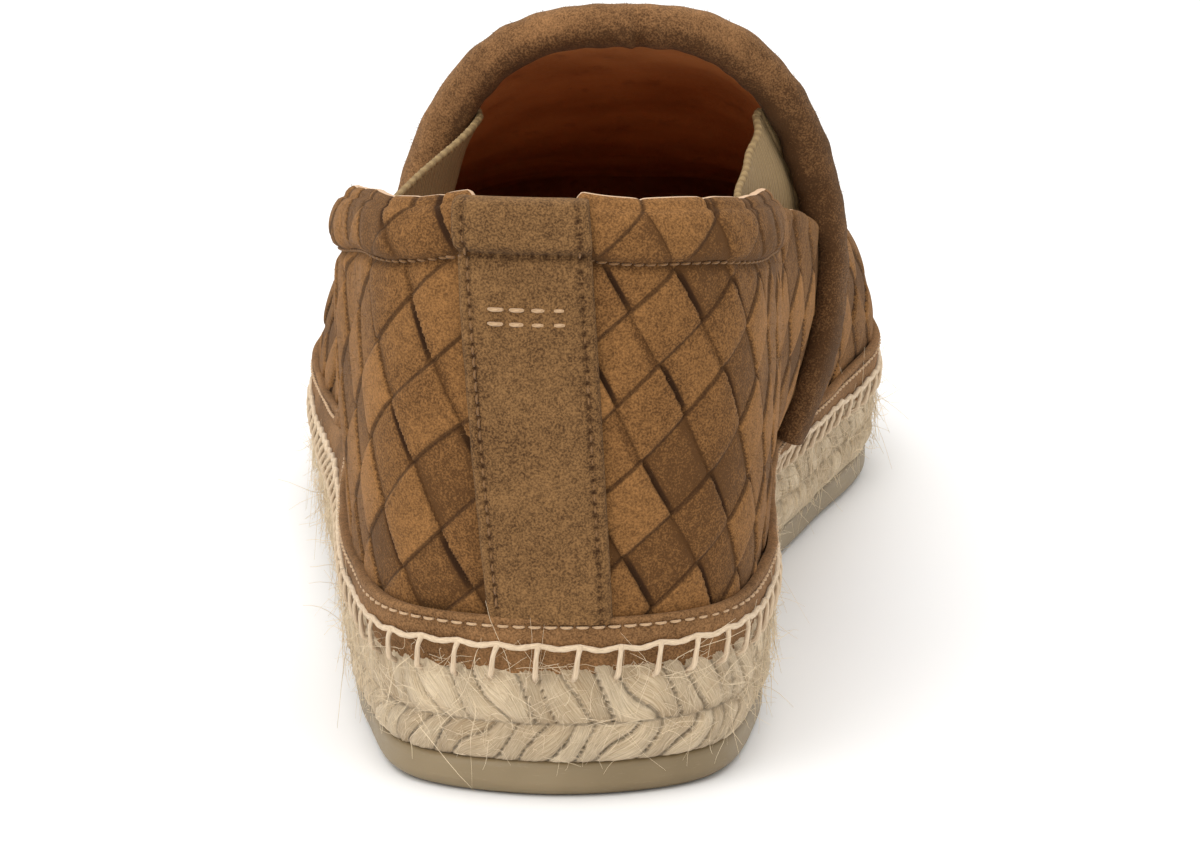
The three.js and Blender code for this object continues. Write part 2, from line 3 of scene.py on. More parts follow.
import bmesh
import bpy
import numpy as np
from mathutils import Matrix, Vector


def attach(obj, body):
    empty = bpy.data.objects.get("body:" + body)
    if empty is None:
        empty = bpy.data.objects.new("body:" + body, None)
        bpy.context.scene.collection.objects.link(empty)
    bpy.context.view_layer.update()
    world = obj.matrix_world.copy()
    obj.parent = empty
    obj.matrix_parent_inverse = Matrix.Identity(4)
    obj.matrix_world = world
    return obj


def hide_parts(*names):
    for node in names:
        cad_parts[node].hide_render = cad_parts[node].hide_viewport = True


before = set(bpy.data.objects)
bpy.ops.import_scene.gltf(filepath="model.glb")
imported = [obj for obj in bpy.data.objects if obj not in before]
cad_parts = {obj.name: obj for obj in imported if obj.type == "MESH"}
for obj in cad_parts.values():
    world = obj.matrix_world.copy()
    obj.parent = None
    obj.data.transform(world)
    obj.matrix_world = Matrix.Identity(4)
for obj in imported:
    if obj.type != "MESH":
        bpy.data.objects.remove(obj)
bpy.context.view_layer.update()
mm = 0.001
print("frame loaded:", ", ".join(sorted(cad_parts)))

# The last, in millimetres from the heel back, as in the solids, with its waist and throat a little closer to the
# photo. A place on it is given by w, the share of the way from the heel (0) to the toe, negative on the outer side,
# and by the distance up from the feather edge.
last = {
    "middle": (3.95, 144.22),  # of the shoe's box: where the frame's origin is
    "length": 290,
    "outline": [  # x, y of the jute's edge from the heel back round by the outer side
        (0, 0), (-25, 9.5), (-33.7, 38), (-39.5, 98), (-45, 147), (-48.5, 194), (-42, 241), (-21, 279.5),
        (7, 290), (34, 280.5), (51, 248), (56, 208), (45.5, 167), (34.2, 120), (33.4, 40), (24.6, 9.5),
    ],
    "toeRow": 8,
    "crest": [  # share, x, y, z
        (0, 1, 48, 124), (0.13, 2, 58, 124), (0.28, 6, 84, 116), (0.413, 11, 104, 103), (0.5, 11.5, 140, 89),
        (0.62, 11, 178, 72), (0.75, 10.5, 216, 58.5), (0.88, 10, 247, 51.8), (1, 9, 263, 50),
    ],
    "sides": [  # share, squareOuter, squareInner, flareOuter, flareInner
        (0, 4.2, 4.2, 0.05, 0.05), (0.13, 4, 4, 0.1, 0.12), (0.28, 3.2, 3.4, 0.06, 0.18),
        (0.413, 3.0, 2.45, -0.24, 0.74), (0.5, 2.4, 2.5, -0.08, 0.4), (0.62, 2.2, 2.4, 0.04, 0.12),
        (0.75, 2.3, 2.4, 0.05, 0.05), (1, 2.5, 2.5, 0.04, 0.04),
    ],
    "featherInset": 2.2,
    "gap": 0.3,
    "wall": 2.2,
    "vampShare": 0.413,  # the vamp's back edge
}
sole = {
    "outsoleThickness": 5.8, "outsoleInset": 2, "edgeRound": 3, "juteHeel": 15.2, "juteBall": 12.4,
    "wedge": (85, 195), "archRise": 1.2, "archMiddle": 112, "archHalf": 36, "toeSpring": 6.5, "springStart": 226,
}


def smooth(at, low, high):  # 0 below low, 1 above high, an S curve between
    t = np.clip((at - low) / (high - low), 0, 1)
    return t * t * (3 - 2 * t)


def mix(a, b, t):
    return a + (b - a) * t


def unit(v):
    return v / np.maximum(np.linalg.norm(v, axis=-1, keepdims=True), 1e-12)


def waves(x, y, size, seed, count=9):  # soft noise: a sum of sine waves with drawn directions and phases
    draw = np.random.default_rng(seed)
    angle = draw.uniform(0, 2 * np.pi, count)
    pace = draw.uniform(0.5, 1.6, count) * 2 * np.pi / size
    phase = draw.uniform(0, 2 * np.pi, count)
    grids = [np.sin(pace[i] * (x * np.cos(angle[i]) + y * np.sin(angle[i])) + phase[i]) for i in range(count)]
    return np.sum(grids, axis=0) / math.sqrt(count)


def chance(i, j, seed=0):  # a fixed draw between 0 and 1 for each pair of whole numbers
    return np.mod(np.sin(i * 12.9898 + j * 78.233 + seed * 37.719) * 43758.5453, 1)


def tableCurve(rows, column, at):  # cubic pieces through a table's column, with slopes from the rows beside
    rows = np.asarray(rows, float)
    key, value = rows[:, 0], rows[:, column]
    rowNumbers = np.arange(len(key))
    before, after = np.maximum(rowNumbers - 1, 0), np.minimum(rowNumbers + 1, len(key) - 1)
    slope = (value[after] - value[before]) / (key[after] - key[before])
    i = np.clip(np.searchsorted(key, at, side="right") - 1, 0, len(key) - 2)
    span, rise = key[i + 1] - key[i], value[i + 1] - value[i]
    t = (at - key[i]) / span
    startBend, endBend = slope[i] * span - rise, rise - slope[i + 1] * span
    return value[i] + rise * t + t * (1 - t) * ((1 - t) * startBend + t * endBend)


def closedCurve(points, perSpan):  # centripetal cubic pieces round a loop of points
    p1 = np.asarray(points, float)
    p0, p2, p3 = np.roll(p1, 1, 0), np.roll(p1, -1, 0), np.roll(p1, -2, 0)
    d0, d1, d2 = (np.linalg.norm(b - a, axis=1)[:, None] ** 0.5 for a, b in ((p0, p1), (p1, p2), (p2, p3)))
    leave = d1 * ((p1 - p0) / d0 - (p2 - p0) / (d0 + d1) + (p2 - p1) / d1)
    arrive = d1 * ((p2 - p1) / d1 - (p3 - p1) / (d1 + d2) + (p3 - p2) / d2)
    u = np.linspace(0, 1, perSpan, endpoint=False)[None, :, None]
    p1, p2, leave, arrive = p1[:, None], p2[:, None], leave[:, None], arrive[:, None]
    curve = p1 + leave * u + (3 * (p2 - p1) - 2 * leave - arrive) * u**2 + (2 * (p1 - p2) + leave + arrive) * u**3
    return curve.reshape(-1, p1.shape[-1])


def reachAlong(points):
    return np.concatenate([[0], np.cumsum(np.linalg.norm(np.diff(points, axis=0), axis=1))])


outlineLoop = closedCurve(last["outline"], 80)
toeAt = last["toeRow"] * 80
outerEdge = outlineLoop[: toeAt + 1]
innerEdge = np.concatenate([outlineLoop[:1], outlineLoop[toeAt:][::-1]])
outerReach, innerReach = reachAlong(outerEdge), reachAlong(innerEdge)
sideLength = (outerReach[-1] + innerReach[-1]) / 2
edgeShare = np.concatenate([-outerReach[::-1] / outerReach[-1], innerReach[1:] / innerReach[-1]])
edgePoints = np.concatenate([outerEdge[::-1], innerEdge[1:]])


def wrap(w):
    return np.mod(w + 1, 2) - 1


def edgeAt(w, inset):  # the sole's outline at w, drawn in by an inset
    def place(at):
        at = wrap(at)
        return np.stack([np.interp(at, edgeShare, edgePoints[:, k]) for k in (0, 1)], -1)

    along = unit(place(w + 0.004) - place(w - 0.004))
    inward = np.stack([-along[..., 1], along[..., 0]], -1)
    return place(w) + inward * np.asarray(inset)[..., None]


def groundHeight(y):  # arch: a smooth hump at the waist; spring: a parabola towards the toe
    fromArch = np.clip((y - sole["archMiddle"]) / sole["archHalf"], -1, 1)
    spring = np.maximum(0, (y - sole["springStart"]) / (last["length"] - sole["springStart"]))
    return sole["archRise"] * (1 - fromArch**2) ** 2 + sole["toeSpring"] * spring**2


def juteBottom(y):
    return groundHeight(y) + sole["outsoleThickness"] + last["gap"]


def juteTop(y):
    return juteBottom(y) + mix(sole["juteHeel"], sole["juteBall"], smooth(y, *sole["wedge"]))


def meridian(w, turn):
    # superellipse from the feather edge (turn 0) to the crest (a quarter turn), swollen by its flare
    w = wrap(w)
    share = np.abs(w)
    crest = [tableCurve(last["crest"], k, share) for k in (1, 2, 3)]
    square = np.where(w < 0, tableCurve(last["sides"], 1, share), tableCurve(last["sides"], 2, share))
    flare = np.where(w < 0, tableCurve(last["sides"], 3, share), tableCurve(last["sides"], 4, share))
    feather = edgeAt(w, np.full_like(w, last["featherInset"]))
    foot = juteTop(feather[..., 1]) + last["gap"]
    reachX, reachY = feather[..., 0] - crest[0], feather[..., 1] - crest[1]
    squareOff = 1 + reachX**2 / (reachX**2 + reachY**2)
    rise = np.sin(turn) ** (2 / square)
    inward = np.maximum(np.cos(turn), 0) ** (2 / square)
    swell = flare * (1 - (1 - rise) ** 3)
    x = crest[0] + reachX * inward * (1 + swell)
    y = crest[1] + reachY * inward**squareOff * (1 + swell * (2 - squareOff))
    return np.stack([x, y, foot + (crest[2] - foot) * rise], -1)


turnSteps = np.linspace(0, 1, 181) ** 1.3 * np.pi / 2


def columnLengths(w):  # distance up each column at every turn step
    points = meridian(w[:, None], turnSteps[None, :])
    steps = np.linalg.norm(np.diff(points, axis=1), axis=2)
    return np.concatenate([np.zeros((len(w), 1)), np.cumsum(steps, axis=1)], axis=1), points[..., 2]


def acrossColumns(at, known, values):  # one interpolation for all columns, each moved clear of the one before
    apart = np.arange(len(known))[:, None] * 1e4
    flat = np.interp((at + apart).ravel(), (known + apart).ravel(), np.broadcast_to(values, known.shape).ravel())
    return flat.reshape(at.shape)


def skin(w, distance):  # grid of points: a column for each w, a row for each distance up it
    lengths, _ = columnLengths(w)
    points = meridian(w[:, None], acrossColumns(np.maximum(distance, 0), lengths, turnSteps))
    points[..., 2] += np.minimum(distance, 0)  # below the feather edge the wall runs straight down
    return points


def distanceAtHeight(w, z):
    lengths, heights = columnLengths(w)
    return acrossColumns(z[:, None], heights, lengths)[:, 0]


def skinFrame(w, distance):  # points with their outward normal, their direction along w and their way up
    w, distance = np.broadcast_arrays(np.asarray(w, float), np.asarray(distance, float))
    at = skin(w, distance[:, None])[:, 0]
    along = unit(skin(w + 0.002, distance[:, None])[:, 0] - skin(w - 0.002, distance[:, None])[:, 0])
    up = unit(skin(w, distance[:, None] + 0.4)[:, 0] - skin(w, distance[:, None] - 0.4)[:, 0])
    return at, unit(np.cross(along, up)), along, up


def gridNormals(points):
    return unit(np.cross(np.gradient(points, axis=0), np.gradient(points, axis=1)))


def gridFaces(columns, rows, closeColumns=False, closeRows=False):  # quads, vertices numbered column by column
    i = np.arange(columns if closeColumns else columns - 1)[:, None]
    j = np.arange(rows if closeRows else rows - 1)[None, :]
    nextI, nextJ = (i + 1) % columns, (j + 1) % rows
    return np.stack([i * rows + j, nextI * rows + j, nextI * rows + nextJ, i * rows + nextJ], -1).reshape(-1, 4)


def toFrame(points):
    return (points.reshape(-1, 3) - np.array([*last["middle"], 0])) * mm


def makePiece(name, points, faces, material, replaced=(), values=None, uv=None):
    mesh = bpy.data.meshes.new(name)
    mesh.from_pydata(toFrame(points).tolist(), [], faces if isinstance(faces, list) else faces.tolist())
    mesh.polygons.foreach_set("use_smooth", np.ones(len(mesh.polygons), bool))
    for valueName, data in (values or {}).items():
        layer = mesh.attributes.new(valueName, "FLOAT", "POINT")
        layer.data.foreach_set("value", np.broadcast_to(data, points.shape[:-1]).astype(np.float32).ravel())
    if uv is not None:
        corners = np.empty(len(mesh.loops), np.int32)
        mesh.loops.foreach_get("vertex_index", corners)
        layer = mesh.uv_layers.new(name="lay")
        layer.data.foreach_set("uv", uv.reshape(-1, 2)[corners].astype(np.float32).ravel())
    mesh.update()
    mesh.materials.append(material)
    piece = bpy.data.objects.new(name, mesh)
    bpy.context.scene.collection.objects.link(piece)
    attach(piece, "root")
    if replaced:
        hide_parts(*replaced)
    print(name, len(mesh.vertices), "vertices")
    return piece


def sweep(paths, normals, radius, sides, closed=False, flat=1.0):  # round threads along many paths at once
    # paths and normals are threads x points x 3; each ring is a circle, flattened along the normal
    along = np.gradient(paths, axis=1)
    if closed:
        along = np.roll(paths, -1, 1) - np.roll(paths, 1, 1)
    along = unit(along)
    across = unit(np.cross(normals, along))
    lift = np.cross(along, across)
    turn = np.arange(sides) * 2 * np.pi / sides
    size = np.broadcast_to(radius, paths.shape[:-1])[..., None, None]
    ring = np.cos(turn)[:, None] * across[..., None, :] + flat * np.sin(turn)[:, None] * lift[..., None, :]
    points = paths[..., None, :] + size * ring
    threads, count = paths.shape[:2]
    one = gridFaces(count, sides, closed, True)[:, ::-1]
    faces = (np.arange(threads)[:, None, None] * count * sides + one[None]).reshape(-1, 4)
    if not closed:  # end caps
        lid = np.arange(sides)
        ends = np.arange(threads)[:, None] * count * sides
        caps = [(ends + lid[None, ::-1]), (ends + (count - 1) * sides + lid[None, :])]
        faces = faces.tolist() + np.concatenate(caps).tolist()
    return points, faces


def stitches(at, normal, along, length, radius, rise, sides=6, count=7):
    # short threads that leave the surface, bow up by rise and go back in
    t = np.linspace(-1, 1, count)[None, :, None]
    bow = rise * (1 - t**2) - 0.9 * radius * t**4
    paths = at[:, None] + along[:, None] * t * length / 2 + normal[:, None] * bow
    normals = np.broadcast_to(normal[:, None], paths.shape)
    return sweep(paths, normals, radius * (1 - 0.35 * np.abs(t[..., 0]) ** 3), sides)


def threadUv(threads, along, around):  # the same lay on every thread: values along it and round it
    uv = np.stack(np.broadcast_arrays(along[None, :, None], around[None, None, :]), -1)
    return np.broadcast_to(uv, (threads, *uv.shape[1:]))


def sewStitches(name, at, normal, along, length, radius, rise, thread, tone=0.1):
    points, faces = stitches(at, normal, along, length, radius, rise)
    uv = threadUv(len(at), np.linspace(0, 2, points.shape[1]), np.linspace(0, 1, points.shape[2]))
    makePiece(name, points, faces, thread, (), {"tone": tone, "slit": 0.0}, uv)


# Node groups shared by several materials
def newGroup(name, inputs, outputs):
    group = bpy.data.node_groups.new(name, "ShaderNodeTree")
    for socketName, kind, start in inputs:
        socket = group.interface.new_socket(socketName, in_out="INPUT", socket_type=kind)
        socket.default_value = start
    for socketName, kind in outputs:
        group.interface.new_socket(socketName, in_out="OUTPUT", socket_type=kind)
    return group, group.nodes.new("NodeGroupInput"), group.nodes.new("NodeGroupOutput")


def addNode(tree, kind, settings=None, **links):  # settings are properties, links go to inputs by name or number
    node = tree.nodes.new(kind)
    for key, value in (settings or {}).items():
        setattr(node, key, value)
    for key, value in links.items():
        place = int(key[1:]) if key[0] == "i" and key[1:].isdigit() else key.replace("_", " ")
        if isinstance(value, bpy.types.NodeSocket):
            tree.links.new(value, node.inputs[place])
        else:
            node.inputs[place].default_value = value
    return node


def math2(tree, operation, a, b, clamp=False):
    return addNode(tree, "ShaderNodeMath", {"operation": operation, "use_clamp": clamp}, i0=a, i1=b).outputs[0]


def blendColor(tree, share, a, b, how="MIX"):
    node = addNode(tree, "ShaderNodeMix", {"data_type": "RGBA", "blend_type": how}, i0=share, i6=a, i7=b)
    return node.outputs[2]


def ramp(tree, value, low, high):
    settings = {"interpolation_type": "SMOOTHSTEP"}
    return addNode(tree, "ShaderNodeMapRange", settings, i0=value, i1=low, i2=high).outputs[0]


def noise(tree, where, scale, detail=2.0, rough=0.5):
    node = addNode(tree, "ShaderNodeTexNoise", None, Vector=where, Scale=scale, Detail=detail, Roughness=rough)
    return node.outputs[0]


def objectPlace(tree, stretch=None):
    where = addNode(tree, "ShaderNodeTexCoord").outputs["Object"]
    if stretch:
        where = addNode(tree, "ShaderNodeMapping", None, Vector=where, Scale=stretch).outputs[0]
    return where


def uvPlace(tree):
    return addNode(tree, "ShaderNodeUVMap", {"uv_map": "lay"}).outputs[0]


def makeNapGroup():
    # suede: brushed patches and a fine speckle mix a light and a dark tone; slits and holes are painted darker still,
    # as shade
    group, source, result = newGroup(
        "suedeNap",
        [("Light", "NodeSocketColor", (0.4, 0.2, 0.1, 1)), ("Dark", "NodeSocketColor", (0.2, 0.1, 0.05, 1)),
         ("Tone", "NodeSocketFloat", 0.0), ("Slit", "NodeSocketFloat", 0.0), ("Depth", "NodeSocketFloat", 0.00025)],
        [("Color", "NodeSocketColor"), ("Normal", "NodeSocketVector"), ("Roughness", "NodeSocketFloat")],
    )
    where = objectPlace(group)
    fibre = noise(group, where, 3100.0, 2.0, 0.6)
    clump = noise(group, where, 620.0, 2.0, 0.6)
    patch = noise(group, where, 75.0, 2.0, 0.5)
    grain = math2(group, "ADD", math2(group, "MULTIPLY", ramp(group, fibre, 0.3, 0.7), 0.66),
                  math2(group, "MULTIPLY", ramp(group, clump, 0.3, 0.7), 0.22))
    brushed = math2(group, "MULTIPLY", ramp(group, patch, 0.3, 0.7), 0.12)
    share = math2(group, "ADD", math2(group, "ADD", grain, brushed), source.outputs["Tone"], True)
    napColor = blendColor(group, share, source.outputs["Dark"], source.outputs["Light"])
    # painted shade: slits and stitch holes turn nearly black
    slitShade = blendColor(group, source.outputs["Slit"], napColor, (0.034, 0.014, 0.005, 1))
    height = math2(group, "ADD", fibre, math2(group, "MULTIPLY", clump, 0.8))
    bump = addNode(group, "ShaderNodeBump", None, Strength=0.75, Distance=source.outputs["Depth"], Height=height)
    group.links.new(slitShade, result.inputs["Color"])
    group.links.new(bump.outputs[0], result.inputs["Normal"])
    rough = addNode(group, "ShaderNodeMath", {"operation": "MULTIPLY_ADD"}, i0=fibre, i1=0.14, i2=0.82)
    group.links.new(rough.outputs[0], result.inputs["Roughness"])
    return group


napGroup = makeNapGroup()


def makeWeaveGroup():
    # plain weave from two strip numbers, First and Second: whole parts name the strips and their sum's parity says
    # which one is on top. The second family is painted darker, as shade, and leaves a slit where it dives, on the side
    # Facing names; the slits are painted dark, as shade in the gaps.
    group, source, result = newGroup(
        "stripWeave",
        [("First", "NodeSocketFloat", 0.0), ("Second", "NodeSocketFloat", 0.0), ("Facing", "NodeSocketFloat", 1.0)],
        [("Tone", "NodeSocketFloat"), ("Slit", "NodeSocketFloat")],
    )

    def one(operation, value):
        return addNode(group, "ShaderNodeMath", {"operation": operation}, i0=value).outputs[0]

    def fromMiddle(value):  # -1 to 1 across a strip
        return math2(group, "SUBTRACT", math2(group, "MULTIPLY", one("FRACT", value), 2.0), 1.0)

    numbers = [one("FLOOR", source.outputs[k]) for k in (0, 1)]
    within = [fromMiddle(source.outputs[k]) for k in (0, 1)]
    second = math2(group, "FLOORED_MODULO", math2(group, "ADD", *numbers), 2.0)
    cell = addNode(group, "ShaderNodeCombineXYZ", None, X=numbers[0], Y=numbers[1], Z=7.0).outputs[0]
    draw = addNode(group, "ShaderNodeTexWhiteNoise", {"noise_dimensions": "3D"}, Vector=cell).outputs[0]
    # slits, painted dark as shade in the gaps: wide where the second family dives on its facing side, thin at strip
    # ends and sides
    facingSide = math2(group, "MULTIPLY", within[0], source.outputs["Facing"])
    taper = math2(group, "SUBTRACT", 1.0, math2(group, "POWER", one("ABSOLUTE", within[1]), 5.0))
    wide = math2(group, "MULTIPLY", math2(group, "MULTIPLY", ramp(group, facingSide, 0.78, 0.86), taper), second)
    wide = math2(group, "MULTIPLY", wide, ramp(group, draw, -0.6, 0.4))
    fine = math2(group, "MULTIPLY", ramp(group, one("ABSOLUTE", within[1]), 0.9, 0.97), 0.7)
    other = math2(group, "MULTIPLY", ramp(group, one("ABSOLUTE", within[0]), 0.94, 1.0), 0.3)
    slit = math2(group, "MAXIMUM", wide, math2(group, "MAXIMUM", fine, other))
    # painted shade: the lower, second family is darker overall and darker still near its sides
    shade = math2(group, "MULTIPLY", second, -0.22)
    edgeShadeMask = math2(group, "MULTIPLY", ramp(group, one("ABSOLUTE", within[0]), 0.55, 1.0), second)
    edge = math2(group, "MULTIPLY", edgeShadeMask, -0.32)
    drawn = math2(group, "MULTIPLY", math2(group, "SUBTRACT", draw, 0.55), 0.5)
    tone = math2(group, "ADD", math2(group, "ADD", shade, edge), drawn)
    group.links.new(tone, result.inputs["Tone"])
    group.links.new(slit, result.inputs["Slit"])
    return group


weaveGroup = makeWeaveGroup()


def newMaterial(name):
    material = bpy.data.materials.new(name)
    material.use_nodes = True
    tree = material.node_tree
    return material, tree, tree.nodes["Principled BSDF"]


def attribute(tree, name):
    return addNode(tree, "ShaderNodeAttribute", {"attribute_name": name}).outputs["Fac"]


def dress(tree, shader, color, roughness, bump):
    # roughness: a value and the range it is spread over; bump: a height, its strength and its depth
    value, low, high = roughness
    height, strength, depth = bump
    rough = addNode(tree, "ShaderNodeMapRange", None, i0=value, i3=low, i4=high)
    relief = addNode(tree, "ShaderNodeBump", None, Strength=strength, Distance=depth, Height=height)
    for socket, target in ((color, "Base Color"), (rough.outputs[0], "Roughness"), (relief.outputs[0], "Normal")):
        tree.links.new(socket, shader.inputs[target])


def suede(name, light, dark, depth=0.00025, sheen=0.05, woven=False):
    material, tree, shader = newMaterial(name)
    tone, slit = attribute(tree, "tone"), attribute(tree, "slit")
    if woven:
        strips = addNode(tree, "ShaderNodeGroup", {"node_tree": weaveGroup}, First=attribute(tree, "first"),
                         Second=attribute(tree, "second"), Facing=attribute(tree, "facing"))
        tone = math2(tree, "ADD", tone, strips.outputs["Tone"])
        # the weave's slits are painted shade, with less of it where open is low
        slit = math2(tree, "MAXIMUM", math2(tree, "MULTIPLY", strips.outputs["Slit"], attribute(tree, "open")), slit)
    nap = addNode(tree, "ShaderNodeGroup", {"node_tree": napGroup}, Light=(*light, 1), Dark=(*dark, 1),
                  Tone=tone, Slit=slit, Depth=depth)
    for socketName, target in (("Color", "Base Color"), ("Normal", "Normal"), ("Roughness", "Roughness")):
        tree.links.new(nap.outputs[socketName], shader.inputs[target])
    shader.inputs["Specular IOR Level"].default_value = 0.12
    shader.inputs["Sheen Weight"].default_value = sheen
    shader.inputs["Sheen Roughness"].default_value = 0.55
    shader.inputs["Sheen Tint"].default_value = (0.95, 0.75, 0.5, 1)
    return material


def leatherLining():
    # smooth leather: a soft mottle, fine pores and long creases with painted shade; the collar's turned edge gets a
    # painted highlight
    material, tree, shader = newMaterial("liningLeather")
    where = objectPlace(tree)
    mottle = noise(tree, where, 55.0, 3.0)
    pores = noise(tree, where, 1500.0, 2.0)
    crease = noise(tree, objectPlace(tree, (1.0, 0.35, 1.0)), 210.0, 4.0, 0.6)
    color = blendColor(tree, ramp(tree, mottle, 0.25, 0.75), (0.4, 0.15, 0.045, 1), (0.6, 0.26, 0.09, 1))
    # painted shade in the creases
    creaseShade = math2(tree, "MULTIPLY", ramp(tree, crease, 0.58, 0.72), 0.35)
    color = blendColor(tree, creaseShade, color, (0.2, 0.06, 0.015, 1))
    # painted highlight: the rim (edge) is painted pale where the light falls on it
    color = blendColor(tree, attribute(tree, "edge"), color, (0.56, 0.36, 0.21, 1))
    height = math2(tree, "ADD", crease, math2(tree, "MULTIPLY", pores, 0.25))
    dress(tree, shader, color, (pores, 0.42, 0.6), (height, 0.5, 0.0006))
    return material


def fibreMaterial(name, light, dark, along, across, bumpDepth, roughness=0.9):
    # yarn: streaks drawn out along the yarn from its own uv, with painted shade (the slit value) darkening the hollows
    # so the crowns stay lighter
    material, tree, shader = newMaterial(name)
    streakAt = addNode(tree, "ShaderNodeMapping", None, Vector=uvPlace(tree), Scale=(along, across, 1.0)).outputs[0]
    streak = noise(tree, streakAt, 1.0, 3.0, 0.6)
    patch = noise(tree, objectPlace(tree), 140.0, 2.0)
    share = math2(tree, "ADD", math2(tree, "MULTIPLY", ramp(tree, streak, 0.3, 0.7), 0.55),
                  math2(tree, "MULTIPLY", patch, 0.5))
    share = math2(tree, "ADD", share, attribute(tree, "tone"), True)
    color = blendColor(tree, share, (*dark, 1), (*light, 1))
    # painted shade: the slit value darkens the hollows between strands
    color = blendColor(tree, attribute(tree, "slit"), color, tuple(0.3 * c for c in dark) + (1,))
    dress(tree, shader, color, (streak, roughness - 0.1, roughness + 0.08), (streak, 0.8, bumpDepth))
    shader.inputs["Specular IOR Level"].default_value = 0.2
    shader.inputs["Sheen Weight"].default_value = 0.15
    return material


def gumRubber():
    # satin rubber with a faint cloud and scuffs near the ground
    material, tree, shader = newMaterial("gumRubber")
    cloud = noise(tree, objectPlace(tree), 40.0, 3.0)
    scuff = noise(tree, objectPlace(tree, (1.0, 1.0, 5.0)), 420.0, 4.0, 0.7)
    color = blendColor(tree, ramp(tree, cloud, 0.3, 0.7), (0.19, 0.135, 0.065, 1), (0.25, 0.185, 0.1, 1))
    worn = math2(tree, "MULTIPLY", ramp(tree, scuff, 0.56, 0.75), 0.3)
    color = blendColor(tree, worn, color, (0.34, 0.27, 0.17, 1))
    dress(tree, shader, color, (scuff, 0.36, 0.62), (scuff, 0.25, 0.0002))
    shader.inputs["Subsurface Weight"].default_value = 0.12
    shader.inputs["Subsurface Radius"].default_value = (0.004, 0.003, 0.0015)
    return material


def elasticCloth():
    # ribbed elastic: fine cords side by side with a woven speckle
    material, tree, shader = newMaterial("elasticCloth")
    ribs = addNode(tree, "ShaderNodeTexWave", {"wave_type": "BANDS", "bands_direction": "X"}, Vector=uvPlace(tree),
                   Scale=0.32, Distortion=0.6, Detail=2.0).outputs[1]
    speckle = noise(tree, objectPlace(tree), 1800.0, 2.0)
    share = math2(tree, "ADD", math2(tree, "MULTIPLY", ribs, 0.45), math2(tree, "MULTIPLY", speckle, 0.5))
    color = blendColor(tree, share, (0.15, 0.09, 0.034, 1), (0.34, 0.23, 0.1, 1))
    dress(tree, shader, color, (speckle, 0.75, 0.95), (share, 0.8, 0.0004))
    return material


weaveSuede = suede("weaveSuede", (0.318, 0.15, 0.0485), (0.088, 0.038, 0.0115), woven=True)
stripSuede = suede("stripSuede", (0.27, 0.142, 0.054), (0.05, 0.0225, 0.008))
foxingSuede = suede("foxingSuede", (0.31, 0.16, 0.066), (0.085, 0.04, 0.015))
bindingSuede = suede("bindingSuede", (0.3, 0.15, 0.06), (0.07, 0.031, 0.011))
lining = leatherLining()
jute = fibreMaterial("juteYarn", (0.84, 0.69, 0.48), (0.42, 0.3, 0.175), 0.35, 6.0, 0.0007)
creamThread = fibreMaterial("creamThread", (0.76, 0.6, 0.42), (0.44, 0.31, 0.19), 1.2, 4.0, 0.0003)
tanThread = fibreMaterial("tanThread", (0.25, 0.13, 0.05), (0.12, 0.058, 0.02), 2.0, 6.0, 0.0001)
paleThread = fibreMaterial("paleThread", (0.58, 0.4, 0.24), (0.3, 0.17, 0.08), 2.0, 6.0, 0.0001)
elastic = elasticCloth()
rubber = gumRubber()
print("materials made")

# Heel strip: plain suede from the foxing over the collar, leaning to the outer side
strip = {
    "footX": -1.4, "topX": -5.8, "footWidth": 20.0, "topWidth": 21.5, "thickness": 1.35, "stitchIn": 1.9,
    "stitchPitch": 1.9, "columns": 64, "rows": 190, "tackDown": 15.0,
    "belowCollar": 1.7, "press": 2.4, "lie": 0.6,  # under the collar's top; into the weave; off the wall
}

# Quarter: strips woven on the bias round the heel, with a turned and padded collar
quarter = {
    "front": 0.428, "columns": 641, "rows": 140, "foot": 3.0, "relief": 0.9, "lineRows": 36, "outerRim": 3,
    "casing": 8.4, "casingSwell": 1.8, "innerSwell": 1.4, "seamDepth": 0.5, "seamPitch": 2.0, "seamEnd": 0.245,
    "collar": [  # share, height of its top
        (0, 95), (0.13, 90.1), (0.24, 82.6), (0.268, 80.4), (0.31, 75.6), (0.36, 70.4), (0.44, 62.5),
    ],
}


def weave(first, second, facing, relief):
    # height of a plain weave from two strip numbers: the first family lies higher and is crowned across its width,
    # both dive at their ends, and the second leaves a groove on its facing side
    i, j = np.floor(first), np.floor(second)
    fa, fb = 2 * (first - i) - 1, 2 * (second - j) - 1
    below = np.mod(i + j, 2) == 1
    draw = chance(i, j, 4)
    over = 0.55 + 0.3 * (1 - np.abs(fa) ** 4) - 0.5 * np.abs(fb) ** 8 + 0.12 * (draw - 0.5) * fa
    under = 0.1 + 0.2 * (1 - np.abs(fb) ** 4) - 0.35 * np.abs(fa) ** 8 - 0.5 * smooth(fa * facing, 0.8, 0.97)
    return relief * np.where(below, under, over)


def collarRoll(up):  # half an ellipse over the casing, from its seam (0) to its edge (1)
    return quarter["casingSwell"] * np.sqrt(np.clip(1 - (2 * np.clip(up, 0, 1) - 0.9) ** 2 / 1.21, 0, 1))


def rolledAt(w):  # the padded roll ends where the edge turns down to the vamp
    return 1 - smooth(np.abs(w), 0.25, 0.295)


def collarTop(w):
    share = np.abs(w)
    return np.interp(share, *np.array(quarter["collar"]).T) * 0.4 + 0.6 * tableCurve(quarter["collar"], 1, share)


